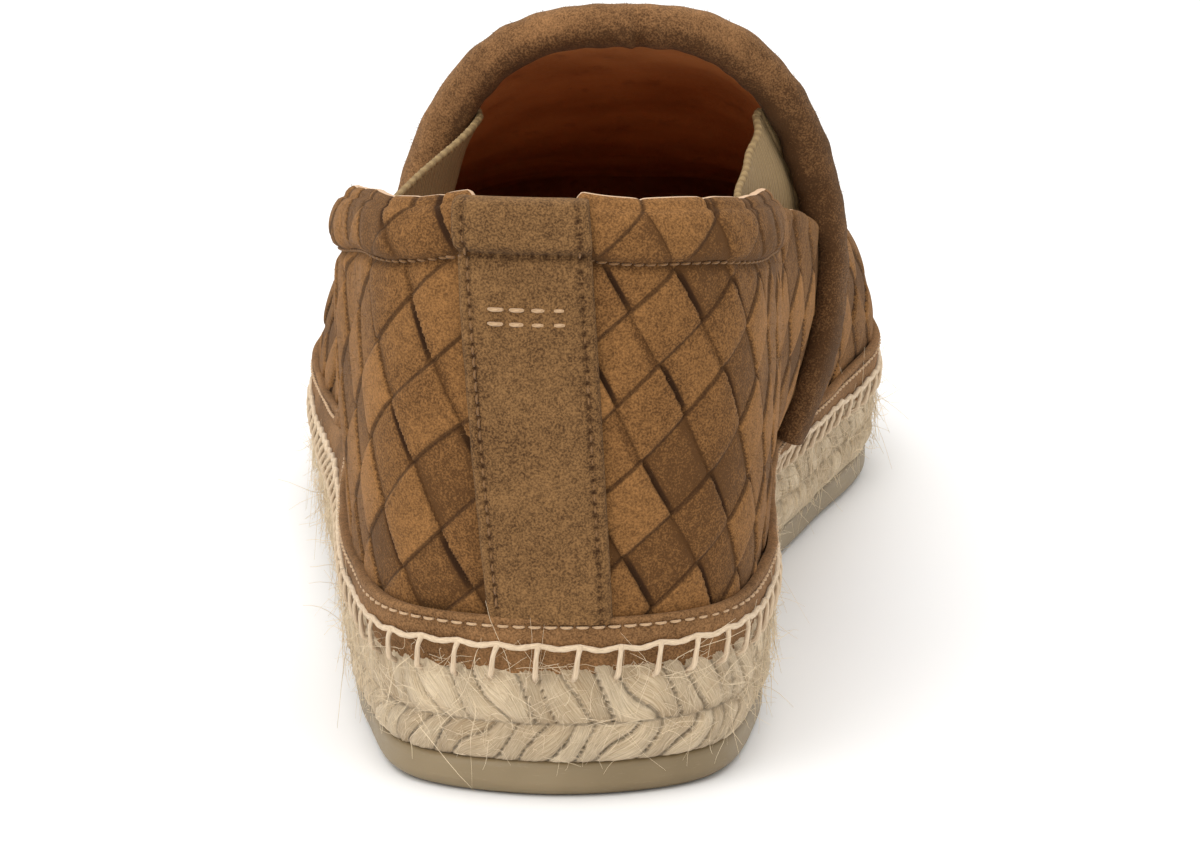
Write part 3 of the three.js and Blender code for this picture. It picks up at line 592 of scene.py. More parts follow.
def quarterStrips(s, distance):
    # strip numbers on either side of the heel strip, where the two halves of the weave hide their joint
    bend1, bend2 = 0.55 * waves(s, distance, 38, 21), 0.55 * waves(s, distance, 33, 22)
    across1, across2 = 0.879 * s + 0.477 * distance + bend1, -0.643 * s + 0.766 * distance + bend2
    inner = s > mix(strip["footX"], strip["topX"], distance / 72)
    first = np.where(inner, (across1 - 36.7) / 9.7 + 1, (across1 + 6.5) / 11.6)
    second = np.where(inner, (45.8 - across2) / 9.9, (59.8 - across2) / 10.4 + 1)
    return first, second, np.where(inner, -1.0, 1.0)


def quarterRelief(w, distance, top):
    s = w * sideLength
    first, second, facing = quarterStrips(s, distance)
    height = weave(first, second, facing, quarter["relief"])
    seam = top - quarter["casing"]
    up = (distance - seam) / quarter["casing"]
    inCasing = smooth(up, -0.01, 0.06)
    roll = collarRoll(up)
    pucker = 0.5 + 0.5 * np.cos(2 * np.pi * s / quarter["seamPitch"])
    nearSeam = np.exp(-(((distance - seam) / 1.0) ** 2))
    groove = quarter["seamDepth"] * nearSeam * (0.75 + 0.25 * pucker)
    gathers = 0.18 * waves(s * 3, distance * 0.6, 14, 23) * np.exp(-(((distance - seam) / 6) ** 2))
    lumps = 0.25 * waves(s, distance, 60, 24)
    rolled = rolledAt(w)
    inCasing, nearSeam = inCasing * rolled, nearSeam * rolled
    height = height * (1 - 0.3 * inCasing) * (1 - 0.8 * nearSeam) + roll * inCasing
    height = height - (groove + gathers) * rolled + lumps - 0.35
    # painted shade: stitch holes along the collar seam turn dark (slit) and the seam groove is darker; the tone is also
    # a little darker over the casing
    hole = np.exp(-(((distance - seam) / 0.45) ** 2)) * smooth(pucker, 0.82, 1.0) * rolled
    tone = 0.08 * waves(s, distance, 26, 27) - 0.22 * nearSeam - 0.16 * inCasing
    values = {"first": first, "second": second, "facing": facing, "tone": tone, "slit": 0.75 * hole,
              "open": 1 - 0.75 * nearSeam}
    return height, {name: np.broadcast_to(field, height.shape) for name, field in values.items()}


def makeQuarter():
    even = np.linspace(-1, 1, quarter["columns"])
    w = quarter["front"] * (0.7 * even + 0.3 * even**3)  # closer together at the heel
    topZ = collarTop(w) + 0.5 * waves(w * sideLength, 0 * w, 45, 25)
    topZ = topZ - strip["press"] * (1 - smooth(np.abs(w * sideLength - strip["topX"]), 7.5, 10))  # under the heel strip
    top = distanceAtHeight(w, topZ)[:, None]
    distance = mix(quarter["foot"], top, np.linspace(0, 1, quarter["rows"])[None, :])
    base = skin(w, distance)
    normal = gridNormals(base)
    height, values = quarterRelief(w[:, None], distance, top)
    outer = base + normal * height[..., None]
    # rim: half a circle from the outer face over to the lining
    up = unit(base[:, -1] - base[:, -2])[:, None]
    turn = np.linspace(0, np.pi, 9)[None, 1:, None]
    swell = (quarter["innerSwell"] * rolledAt(w))[:, None]
    half = (last["wall"] + swell[..., None] + height[:, -1:, None]) / 2
    middle = base[:, -1:] + normal[:, -1:] * (height[:, -1:, None] - half)
    rim = middle + normal[:, -1:] * half * np.cos(turn) + up * half * np.sin(turn)
    outerRim = quarter["outerRim"]  # rows of the rim that belong to the weave
    points = np.concatenate([outer, rim[:, :outerRim]], axis=1)
    for name, field in values.items():
        values[name] = np.concatenate([field, np.repeat(field[:, -1:], outerRim, 1)], 1)
    makePiece("quarterWeave", points, gridFaces(*points.shape[:2]), weaveSuede, ["upper"], values)
    # lining: from the rim down the inside; its rows run down, so its normals point inwards
    w, top, rim, swell = w[::2], top[::2], rim[::2], swell[::2]
    down = (np.linspace(1, 0, quarter["lineRows"]) ** 0.8)[None, :]
    inside = skin(w, mix(1.0, top, down))
    wrinkle = 0.3 * waves(w[:, None] * sideLength, down * 60, 26, 26)
    padding = swell * (1 - smooth((1 - down) * top, 0, quarter["casing"]))
    depth = last["wall"] + padding + wrinkle * smooth(1 - down, 0.05, 0.3)
    inside = inside + gridNormals(inside) * depth[..., None]
    points = np.concatenate([rim[:, outerRim - 1:], inside[:, 1:]], axis=1)
    edge = np.zeros(points.shape[1])
    edge[: rim.shape[1] - outerRim - 1] = 1  # the turned edge on the rim is painted pale, a painted highlight
    makePiece("quarterLining", points, gridFaces(*points.shape[:2]), lining, (),
              {"edge": edge[None, :]})


makeQuarter()

# Vamp: the same weave over the forefoot, from the throat to the toe
vamp = {"columns": 270, "rows": 250, "foot": 3.0, "back": 0.409, "stripWidth": 10.3, "relief": 1.0}


def vampGrid(columns, rows, back):  # rows run from the outer feather edge over the crest to the inner one
    share = np.linspace(back, 1, columns)
    q = np.linspace(-1, 1, rows)[None, :]
    outerLength, innerLength = (columnLengths(side * share)[0][:, -1:] for side in (-1, 1))
    outer, inner = q[:, : rows // 2], q[:, rows // 2:]
    outerDistance = mix(vamp["foot"], outerLength, 1 + outer)
    innerDistance = mix(vamp["foot"], innerLength, 1 - inner)
    nearToe = np.minimum(share, 0.99999)
    points = np.concatenate([skin(-nearToe, outerDistance), skin(nearToe, innerDistance)], axis=1)
    girth = np.concatenate([outerDistance - outerLength, innerLength - innerDistance], axis=1)
    crest = np.stack([tableCurve(last["crest"], k, share) for k in (1, 2, 3)], -1)
    ridge = reachAlong(crest)[:, None]
    along = mix(ridge, (share[:, None] - back) * sideLength, np.abs(q) ** 1.5)
    return points, -gridNormals(points), along, girth


def weldToe(piece):  # joins the toe column's two halves into one
    work = bmesh.new()
    work.from_mesh(piece.data)
    bmesh.ops.remove_doubles(work, verts=work.verts, dist=1e-7)
    work.to_mesh(piece.data)
    work.free()


def joinToe(field):  # the toe column's two halves lie on each other, so they share their mean
    field[-1] = (field[-1] + field[-1, ::-1]) / 2
    return field


def makeVamp():
    points, normal, along, girth = vampGrid(vamp["columns"], vamp["rows"], vamp["back"])
    normal = unit(joinToe(normal))
    bend = 0.7 * waves(along, girth, 40, 31)
    slant = math.radians(46)
    first = ((along + bend) * math.sin(slant) + girth * math.cos(slant)) / vamp["stripWidth"]
    second = (-(along + bend) * math.sin(slant) + girth * math.cos(slant) + 4) / vamp["stripWidth"]
    height = weave(first, second, 1.0, vamp["relief"]) + 0.3 * waves(along, girth, 70, 32) - 0.35
    outer = joinToe(points + normal * joinToe(height)[..., None])
    values = {"first": first, "second": second, "facing": 1.0, "tone": 0.08 * waves(along, girth, 26, 34), "slit": 0.0,
              "open": 1.0}
    weldToe(makePiece("vampWeave", outer, gridFaces(*outer.shape[:2])[:, ::-1], weaveSuede, ["upper"],
                      values))
    points, normal, along, girth = vampGrid(120, 100, vamp["back"])
    wrinkle = 0.25 * waves(along, girth * 0.5, 22, 33)
    inside = joinToe(points - unit(joinToe(normal)) * (last["wall"] + joinToe(wrinkle))[..., None])
    weldToe(makePiece("vampLining", inside, gridFaces(*inside.shape[:2]), lining, (), {"edge": 0.0}))


makeVamp()

# Foxing: suede band round the foot of the upper
foxing = {"columns": 920, "height": 8.1, "thickness": 1.55, "stitchPitch": 2.5, "stitchDown": 1.5}


def makeFoxing():
    # band section: up the face, round its top edge and back to the wall
    w = np.linspace(-1, 1, foxing["columns"], endpoint=False)
    s = w * sideLength
    t = np.linspace(0, 1, 15)
    onFace = t < 0.7
    corner = np.clip((t - 0.7) / 0.3, 0, 1) * np.pi / 2
    edge = foxing["height"] - 0.6
    up = np.where(onFace, -1.2 + (foxing["height"] + 0.6) * t / 0.7, edge + 0.6 * np.sin(corner * 1.6).clip(0, 1))
    thin = 0.35 + 0.65 * smooth(up, -0.5, 2.2)  # at its foot
    out = np.where(onFace, thin, np.cos(corner)) * foxing["thickness"]
    distance = np.broadcast_to(up[None, :], (len(w), len(up)))
    distance = distance + (0.25 * waves(s, 0 * s, 50, 41))[:, None] * smooth(up, 3, 8)[None, :]
    base = skin(w, distance)
    ladder = skin(w, np.broadcast_to(np.linspace(0, 8, len(t))[None, :], distance.shape))
    normal = unit(np.cross(np.roll(base, -1, 0) - np.roll(base, 1, 0), np.gradient(ladder, axis=1)))
    body = 0.12 * waves(s[:, None], distance, 16, 42) + 0.15 * waves(s[:, None], distance, 50, 43)
    line = np.exp(-(((distance - foxing["height"] + foxing["stitchDown"]) / 0.5) ** 2))
    lift = out[None, :] + last["gap"] + body * smooth(out, 0.2, 1.0)[None, :] - 0.25 * line * (out[None, :] > 1)
    points = base + normal * lift[..., None]
    # painted shade along the pressed-in stitch line
    tone = 0.1 * waves(s[:, None], distance, 30, 44) - 0.25 * line
    makePiece("foxingBand", points, gridFaces(*points.shape[:2], True), foxingSuede, ["foxing_band"],
              {"tone": tone, "slit": 0.0})
    count = int(2 * sideLength / foxing["stitchPitch"])
    ws = np.linspace(-1, 1, count, endpoint=False)
    at, normal, along, _ = skinFrame(ws, np.full(count, foxing["height"] - foxing["stitchDown"]))
    at = at + normal * (foxing["thickness"] + last["gap"] - 0.12)
    sewStitches("foxingStitch", at, normal, along, foxing["stitchPitch"] * 0.74, 0.24, 0.2, paleThread)


makeFoxing()


def stripRoll(distance, seam):  # the collar's roll as it shows through the heel strip
    return collarRoll((distance - seam) / quarter["casing"]) * smooth(distance, seam - 0.2, seam + 0.7)


def makeHeelStrip():
    # across runs from -1 to 1 over the strip; its edges round off, its body follows the collar roll beneath
    heel = np.array([0.0])
    top = float(distanceAtHeight(heel, collarTop(heel) - strip["belowCollar"])[0])
    foot = foxing["height"] - 1.0
    t = np.linspace(0, 1, strip["rows"])
    distance = mix(foot, top, t)
    across = np.sin(np.linspace(-np.pi / 2, np.pi / 2, strip["columns"]))
    width = mix(strip["footWidth"], strip["topWidth"], t)[None, :]
    x = mix(strip["footX"], strip["topX"], t)[None, :] + across[:, None] * width / 2
    spread = np.broadcast_to(distance[None, :], x.shape)
    w = x / sideLength
    columnsW = np.linspace(-0.08, 0.08, 161)
    sheet = skin(columnsW, np.broadcast_to(distance[None, :], (161, len(distance))))
    normals = gridNormals(sheet)
    place = (w - columnsW[0]) / (columnsW[1] - columnsW[0])
    low = np.clip(place.astype(int), 0, 159)
    part = (place - low)[..., None]
    row = np.broadcast_to(np.arange(len(t))[None, :], low.shape)
    base = mix(sheet[low, row], sheet[low + 1, row], part)
    normal = unit(mix(normals[low, row], normals[low + 1, row], part))
    seam = top + strip["belowCollar"] - quarter["casing"]
    roll = stripRoll(distance, seam)
    nearSeam = np.exp(-(((distance - seam) / 0.9) ** 2))
    fall = 1 - 0.75 * np.abs(across[:, None]) ** 26
    edgeIn = width / 2 - np.abs(across[:, None]) * width / 2
    sewn = np.exp(-(((edgeIn - strip["stitchIn"]) / 0.42) ** 2))
    beat = 0.5 + 0.5 * np.cos(2 * np.pi * distance / strip["stitchPitch"])[None, :]
    collarBeat = 0.5 + 0.5 * np.cos(2 * np.pi * x / quarter["seamPitch"])
    hole = np.maximum(sewn * smooth(beat, 0.72, 0.98), (nearSeam[None, :] ** 2) * smooth(collarBeat, 0.72, 0.98))
    body = strip["thickness"] * fall + strip["lie"] + roll[None, :] - 0.5 * nearSeam[None, :] - 0.22 * sewn - 0.3 * hole
    body = body + 0.12 * waves(x, spread, 12, 51) + 0.2 * waves(x, spread, 40, 52)
    points = base + normal * body[..., None]
    # over the collar's top and a little way down inside
    turn = np.linspace(0, np.pi, 13)[None, 1:, None]
    half = (last["wall"] + quarter["innerSwell"] + body[:, -1:, None] + 0.5) / 2
    middle = base[:, -1:] + normal[:, -1:] * (body[:, -1:, None] - half)
    rise = np.array([0, 0, 1.0])
    over = middle + normal[:, -1:] * half * np.cos(turn) + rise * (half * 0.5 + 0.1) * np.sin(turn)
    tail = over[:, -1:] - rise * np.linspace(0.5, 6, 8)[None, :, None]
    points = np.concatenate([points, over, tail], axis=1)
    extra = points.shape[1] - len(t)
    # painted shade: darker along the stitch lines, the collar seam and the strip's rounded edges, and the stitch holes
    # dark (slit)
    tone = -0.03 + 0.035 * waves(x, spread, 22, 53) - 0.2 * sewn - 0.2 * nearSeam[None, :] - 0.3 * (1 - fall)
    tone = np.concatenate([tone, np.repeat(tone[:, -1:], extra, 1)], 1)
    slit = np.concatenate([np.clip(0.9 * hole, 0, 1), np.zeros((len(across), extra))], 1)
    # both cut edges turn in towards the wall
    turned = points - gridNormals(points) * 1.9
    points = np.concatenate([turned[:1], points, turned[-1:]], 0)
    tone, slit = (np.concatenate([field[:1], field, field[-1:]], 0) for field in (tone, slit))
    makePiece("heelStrip", points, gridFaces(*points.shape[:2]), stripSuede, ["heel_strip"],
              {"tone": tone, "slit": slit})
    print("heel strip from", round(foot, 1), "to", round(top, 1), "mm up the wall")
    return top, seam


stripTop, stripSeam = makeHeelStrip()


def onStrip(x, distance, lift):  # a frame on the heel strip's face
    at, normal, along, up = skinFrame(x / sideLength, distance)
    out = strip["thickness"] + strip["lie"] + stripRoll(distance, stripSeam) + lift
    return at + normal * out[..., None], normal, along, up


def makeSeamStitches():
    # both edges of the heel strip
    first = np.ceil(foxing["height"] / strip["stitchPitch"])
    beats = np.arange(first, int((stripTop - 1) / strip["stitchPitch"]))
    distance = np.tile((beats + 0.5) * strip["stitchPitch"], 2)
    side = np.repeat([-1, 1], len(beats))
    t = (distance - foxing["height"] + 1) / (stripTop - foxing["height"] + 1)
    halfWidth = mix(strip["footWidth"], strip["topWidth"], t) / 2
    x = mix(strip["footX"], strip["topX"], t) + side * (halfWidth - strip["stitchIn"])
    at, normal, _, up = onStrip(x, distance, -0.42)
    sewStitches("stripStitch", at, normal, up, strip["stitchPitch"] * 0.7, 0.2, 0.16, tanThread)
    # collar seam round the quarter
    reach = int(quarter["seamEnd"] * sideLength / quarter["seamPitch"])
    beats = np.arange(-reach, reach)
    x = (beats + 0.5) * quarter["seamPitch"]
    w = x / sideLength
    seam = distanceAtHeight(w, collarTop(w) + 0.5 * waves(x, 0 * x, 45, 25)) - quarter["casing"]
    at, normal, along, _ = skinFrame(w, seam)
    at = at + normal * (-0.45 + 0.25 * waves(x, seam, 60, 24))[:, None]
    onLeather = np.abs(x - strip["topX"] + 1) < strip["topWidth"] / 2
    at = at + normal * np.where(onLeather, 1.75, 0.25)[:, None]
    sewStitches("collarStitch", at, normal, along, quarter["seamPitch"] * 0.72, 0.22, 0.2, tanThread)
    # plain tack on the heel strip: two short rows of running stitches
    beats = np.arange(4)
    distance = np.repeat(stripTop - strip["tackDown"] - np.array([0, 2.2]), len(beats))
    x = strip["topX"] + 1.2 + np.tile((beats - 1.5) * 3.2, 2)
    at, normal, along, _ = onStrip(x, distance, 0.05)
    sewStitches("tackStitch", at, normal, along, 2.5, 0.34, 0.36, paleThread, tone=0.0)


makeSeamStitches()

# Vamp binding: padded suede roll along the vamp's back edge
binding = {
    "section": [  # across towards the toe, height where it hooks round the edge, height where it lies on the quarter
        (11.4, -0.4, -0.4), (10.2, 1.9, 1.9), (7.2, 3.7, 3.7), (3.2, 4.7, 4.7), (-0.6, 4.4, 4.5), (-3.2, 2.9, 3.5),
        (-4.0, 0.4, 2.0), (-3.4, -2.2, 0.4), (-1.6, -3.1, -0.2), (1.5, -2.9, -0.3), (5.0, -1.2, -0.5),
    ],
    "stations": 360, "perSpan": 5, "hookFrom": 40.0, "hookTo": 52.0,
}


def makeBinding():
    # the section loop is carried along the edge, over the throat from one foxing edge to the other
    edge = last["vampShare"]
    count = binding["stations"] // 2
    sides = []
    for side in (-1, 1):
        length = columnLengths(np.array([side * edge]))[0][0, -1]
        distance = np.linspace(foxing["height"] - 1.0, length - 0.01, count)
        at, normal, _, _ = skinFrame(side * edge, distance)
        nextW = side * (edge + 0.02)
        nextLength = columnLengths(np.array([nextW]))[0][0, -1]
        ahead = skinFrame(nextW, distance * nextLength / length)[0]
        hook = smooth(distance, binding["hookFrom"], binding["hookTo"])
        sides.append((at, normal, unit(ahead - at), hook, distance if side < 0 else 2 * length - distance))
    at, normal, ahead, hook, reach = (np.concatenate([a, b[::-1]]) for a, b in zip(*sides))
    smoothing = np.hanning(25) / np.hanning(25).sum()

    def even(field):  # a running mean rounds the frame off where the two halves meet at the crest
        padded = np.concatenate([np.repeat(field[:1], 12, 0), field, np.repeat(field[-1:], 12, 0)])
        return np.stack([np.convolve(padded[:, k], smoothing, "valid") for k in range(3)], -1)

    at, normal, ahead = even(at), unit(even(normal)), unit(even(ahead))
    rows = np.array(binding["section"])
    hooked = closedCurve(rows[:, [0, 1]], binding["perSpan"])
    laid = closedCurve(rows[:, [0, 2]], binding["perSpan"])
    section = mix(laid[None], hooked[None], hook[:, None, None])
    centre = np.array([3.0, 1.4])
    s, turn = reach[:, None], np.linspace(0, 40, len(hooked))[None, :]
    fold = 1 + 0.035 * waves(s * 1.6, turn * 0.35, 9, 61) + 0.04 * waves(s, turn * 0.5, 30, 62)
    section = centre + (section - centre) * fold[..., None]
    points = at[:, None] + ahead[:, None] * section[..., :1] + normal[:, None] * section[..., 1:]
    # painted shade on the part of the section below the skin, under the hook
    tone = 0.08 * waves(s, turn, 14, 63) - 0.35 * smooth(-section[..., 1], 0.2, 1.5)
    shadedInnerSide = smooth(np.arange(len(at)) / len(at), 0.58, 0.72)[:, None]
    tone = tone - 0.45 * shadedInnerSide  # painted shade: the inner side is painted darker, as it lies in shade
    rings, around = points.shape[:2]
    ends = [list(range(around)), list(range((rings - 1) * around, rings * around))[::-1]]
    faces = gridFaces(rings, around, False, True)[:, ::-1].tolist() + ends
    piece = makePiece("vampBinding", points, faces, bindingSuede, ["vamp_binding"],
                      {"tone": tone, "slit": 0.0})


makeBinding()

# Elastic gussets between quarter and vamp
gusset = {
    "back": 0.262, "front": 0.421, "columns": 60, "rows": 30, "thickness": 1.0, "cordRadius": 0.6, "cordSteps": 260,
    "inside": 2.9, "pull": 3.0, "tuck": 3.3, "backIn": 1.4,  # depths under the skin
    "top": [(0.2, 82.0), (0.27, 80.2), (0.35, 84.8), (0.413, 89.2), (0.45, 92.0)],
    "foot": 58.0, "cut": (0.057, 0.035), "cutArea": 0.00143,  # metres and square metres, before it is stretched
}


def makeGusset(side, name, node):
    share = np.linspace(gusset["back"], gusset["front"], gusset["columns"])
    w = side * share
    topZ = tableCurve(gusset["top"], 1, share)
    top, foot = distanceAtHeight(w, topZ), distanceAtHeight(w, np.full_like(w, gusset["foot"]))
    distance = mix(foot[:, None], top[:, None], np.linspace(0, 1, gusset["rows"])[None, :])
    base = skin(w, distance)
    normal = gridNormals(base) * side
    ribs = 0.05 * np.cos(2 * np.pi * (share * sideLength)[:, None] / 1.5)
    span = np.linspace(0, 1, gusset["columns"])[:, None]
    # stretched straight across the bend, with both ends under the linings
    taut = gusset["pull"] * np.sin(np.pi * span) + gusset["backIn"] * (1 - smooth(span, 0.0, 0.8))
    taut = taut - gusset["tuck"] * (1 - smooth(span, 0.0, 0.1) * (1 - smooth(span, 0.93, 1.0)))
    depth = gusset["inside"] + taut - ribs + 0.3 * waves(distance, w[:, None] * sideLength, 25, 71)
    points = base - normal * depth[..., None]
    back = points - normal * gusset["thickness"]
    shell = np.concatenate([points, back[:, ::-1]], axis=1)
    columns, rows = shell.shape[:2]
    j = np.arange(rows // 2 - 1)
    lid = np.stack([j, j + 1, rows - 2 - j, rows - 1 - j], -1)  # closes an end between face and back
    faces = np.concatenate([gridFaces(columns, rows, False, True), lid, lid[:, ::-1] + (columns - 1) * rows])
    upAndDown = np.concatenate([distance, distance[:, ::-1]], 1)
    uv = np.stack(np.broadcast_arrays(share[:, None] * sideLength, upAndDown), -1)
    faces = faces if side > 0 else faces[:, ::-1]
    panel = makePiece(name + "Panel", shell, faces, elastic, [node], None, uv)
    # ribbed cord along the top edge
    path = (points[:, -1] + back[:, -1]) / 2
    fine = np.linspace(0, 1, gusset["cordSteps"])
    reach = reachAlong(path)
    path = np.stack([np.interp(fine * reach[-1] * 0.93, reach, path[:, k]) for k in range(3)], -1)
    ribBeat = 1 + 0.14 * np.cos(2 * np.pi * fine * reach[-1] / 1.25)
    radius = gusset["cordRadius"] * ribBeat[None, :]
    normals = np.repeat(unit(normal[:, -1].mean(0))[None, None], len(fine), 1)
    points, faces = sweep(path[None], normals, radius, 12)
    uv = threadUv(1, fine * reach[-1] * 0.35, np.linspace(0, 6, 12))
    cord = makePiece(name + "Cord", points, faces, elastic, (), None, uv)


makeGusset(-1, "outerGusset", "elastic_outer")
makeGusset(1, "innerGusset", "elastic_inner")

# Jute midsole: a braid of two leaning rows on its side
braid = {
    "columns": 1500, "rows": 44, "pitch": 5.0, "lean": 5.6, "strand": 1.25, "groove": 0.8, "grooveAt": 0.38,
    "ledge": 7.0, "over": 0.95,
}


def makeJute():
    # each row of strands leans away from the groove half way up; a strand is round across and tucks in at both ends
    w = np.linspace(-1, 1, braid["columns"], endpoint=False)
    t = np.linspace(0, 1, braid["rows"])
    lap = round(2 * sideLength / braid["pitch"]) * braid["pitch"] / (2 * sideLength)
    s = (w * sideLength * lap)[:, None]
    middle = braid["grooveAt"]
    v = np.where(t > middle, (t - middle) / (1 - middle), (middle - t) / middle)[None, :]
    upper = np.where(t > middle, 1, 2)[None, :]
    swing = 1.0 * np.sin(np.pi * w * 23)[:, None] + 0.9 * np.sin(np.pi * w[:, None] * 57 + upper * 2.1)
    c = (s - braid["lean"] * (1 - v) + swing) / braid["pitch"] + 0.5 * (upper - 1)
    number = np.floor(c)
    f = 2 * (c - number) - 1
    wrapNumber = np.mod(number, round(2 * sideLength / braid["pitch"]))
    draw, drawAgain = chance(wrapNumber, upper, 81), chance(wrapNumber, upper, 82)
    crown = np.sqrt(np.clip(1 - (0.97 * np.abs(f + 0.12)) ** 2.4, 0, 1))
    tuck = np.sin(np.pi * np.clip(0.1 + 0.84 * v, 0, 1)) ** 0.45
    plies = 0.09 * np.cos(2 * np.pi * (1.6 * f + 1.1 * v + draw))
    strand = braid["strand"] * (crown * tuck * (0.75 + 0.45 * draw) + plies * crown)
    groove = braid["groove"] * np.exp(-(((t[None, :] - middle) / 0.06) ** 2))
    belly = -np.where(t > 0.5, 0.8, 1.5) * np.abs(2 * t - 0.96)[None, :] ** 4 - groove
    inset = 1.75 - strand - belly - 0.25 * waves(w[:, None] * 40 * np.pi, 0 * t[None, :], 30, 83)
    plan = edgeAt(np.broadcast_to(w[:, None], inset.shape), inset)
    low, high = juteBottom(plan[..., 1]) - 0.2, juteTop(plan[..., 1]) + braid["over"]
    side = np.concatenate([plan, mix(low, high, t[None, :])[..., None]], -1)
    ledgeIn = np.linspace(0.3, 1, 4) * braid["ledge"]
    ledge = edgeAt(np.repeat(w[:, None], 4, 1), np.repeat(inset[:, -1:], 4, 1) + ledgeIn[None, :])
    top = np.concatenate([ledge, (juteTop(ledge[..., 1]) + braid["over"] - 0.05)[..., None]], -1)
    ledge = edgeAt(np.repeat(w[:, None], 4, 1), np.repeat(inset[:, :1], 4, 1) + ledgeIn[None, ::-1])
    under = np.concatenate([ledge, (juteBottom(ledge[..., 1]) - 0.15)[..., None]], -1)
    points = np.concatenate([under, side, top], axis=1)

    def whole(field):
        field = np.broadcast_to(field, inset.shape)
        return np.concatenate([np.repeat(field[:, :1], 4, 1), field, np.repeat(field[:, -1:], 4, 1)], 1)

    tone = whole(0.3 * (draw - 0.5) + 0.2 * (drawAgain - 0.5) - 0.12)
    # painted shade in the hollows where the strands tuck in between their crowns
    slit = whole(0.3 * smooth(1 - crown * tuck, 0.4, 1.0))
    uv = np.stack([whole(v * 9 + draw * 40), whole(f * 2 + number * 3)], -1)
    makePiece("juteBraid", points, gridFaces(*points.shape[:2], True), jute, ["jute_midsole"],
              {"tone": tone, "slit": slit}, uv)


makeJute()

# Blanket stitch: thick cream thread that ties the foxing to the jute
blanket = {"pitch": 6.4, "height": 2.3, "radius": 0.47, "lie": 1.85, "legSteps": 11}


def nearFoot(w, distance, out):  # a point beside the foot of the wall, out from its face
    base = skin(w, distance)
    normal = edgeAt(np.repeat(w[:, None], 2, 1), np.array([[0.0, 1.0]]))
    normal = unit(normal[:, 0] - normal[:, 1])
    normal = np.concatenate([normal, np.zeros((len(w), 1))], 1)[:, None]
    return base + normal * out[..., None], np.broadcast_to(normal, base.shape)


def makeBlanketStitch():
    count = round(2 * sideLength / blanket["pitch"])
    fine = 10
    w = np.linspace(-1, 1, count * fine, endpoint=False)
    phase = np.arange(count * fine) / fine
    knot = np.repeat(np.arange(count), fine)
    draw = chance(knot, 5, 91)
    sag = 0.32 * np.cos(2 * np.pi * phase) + 0.35 * waves(w * sideLength, 0 * w, 24, 92)
    distance = (blanket["height"] + sag)[:, None]
    path, normals = nearFoot(w, distance, np.full_like(distance, blanket["lie"] + blanket["radius"] * 0.75))
    thick = blanket["radius"] * (1 + 0.1 * np.cos(2 * np.pi * phase * 3) + 0.12 * (draw - 0.5))
    points, faces = sweep(path[:, 0][None], normals[:, 0][None], thick[None], 10, True)
    uv = threadUv(1, phase * 5, np.linspace(0, 3, 10))
    makePiece("blanketThread", points, faces, creamThread, (), {"tone": 0.12, "slit": 0.0}, uv)
    # legs: from the thread down over the foxing into the jute
    legs = np.arange(count)
    w = -1 + 2 * legs / count
    t = np.linspace(0, 1, blanket["legSteps"])[None, :]
    slant = (0.5 + 0.9 * chance(legs, 2, 93))[:, None]
    drop = blanket["height"] + 0.3 - (blanket["height"] + 2.6) * t
    out = blanket["lie"] + 0.45 + 0.55 * np.sin(np.pi * np.clip(t * 1.15, 0, 1)) - 1.4 * smooth(t, 0.8, 1.0)
    shift = slant * (t - 0.1) * 1.3
    legW = w[:, None] - shift / sideLength
    drop, out = (np.broadcast_to(field, legW.shape).reshape(-1, 1) for field in (drop, out))
    path, normals = (field.reshape(*legW.shape, 3) for field in nearFoot(legW.ravel(), drop, out))
    points, faces = sweep(path, normals, blanket["radius"] * (0.92 + 0.1 * np.cos(t * 9)), 8)
    makePiece("blanketLegs", points, faces, creamThread, (), {"tone": 0.08, "slit": 0.0},
              threadUv(count, t[0] * 4, np.linspace(0, 3, 8)))


makeBlanketStitch()

# Loose fibres of the jute
hair = {"radius": 0.05, "points": 6}


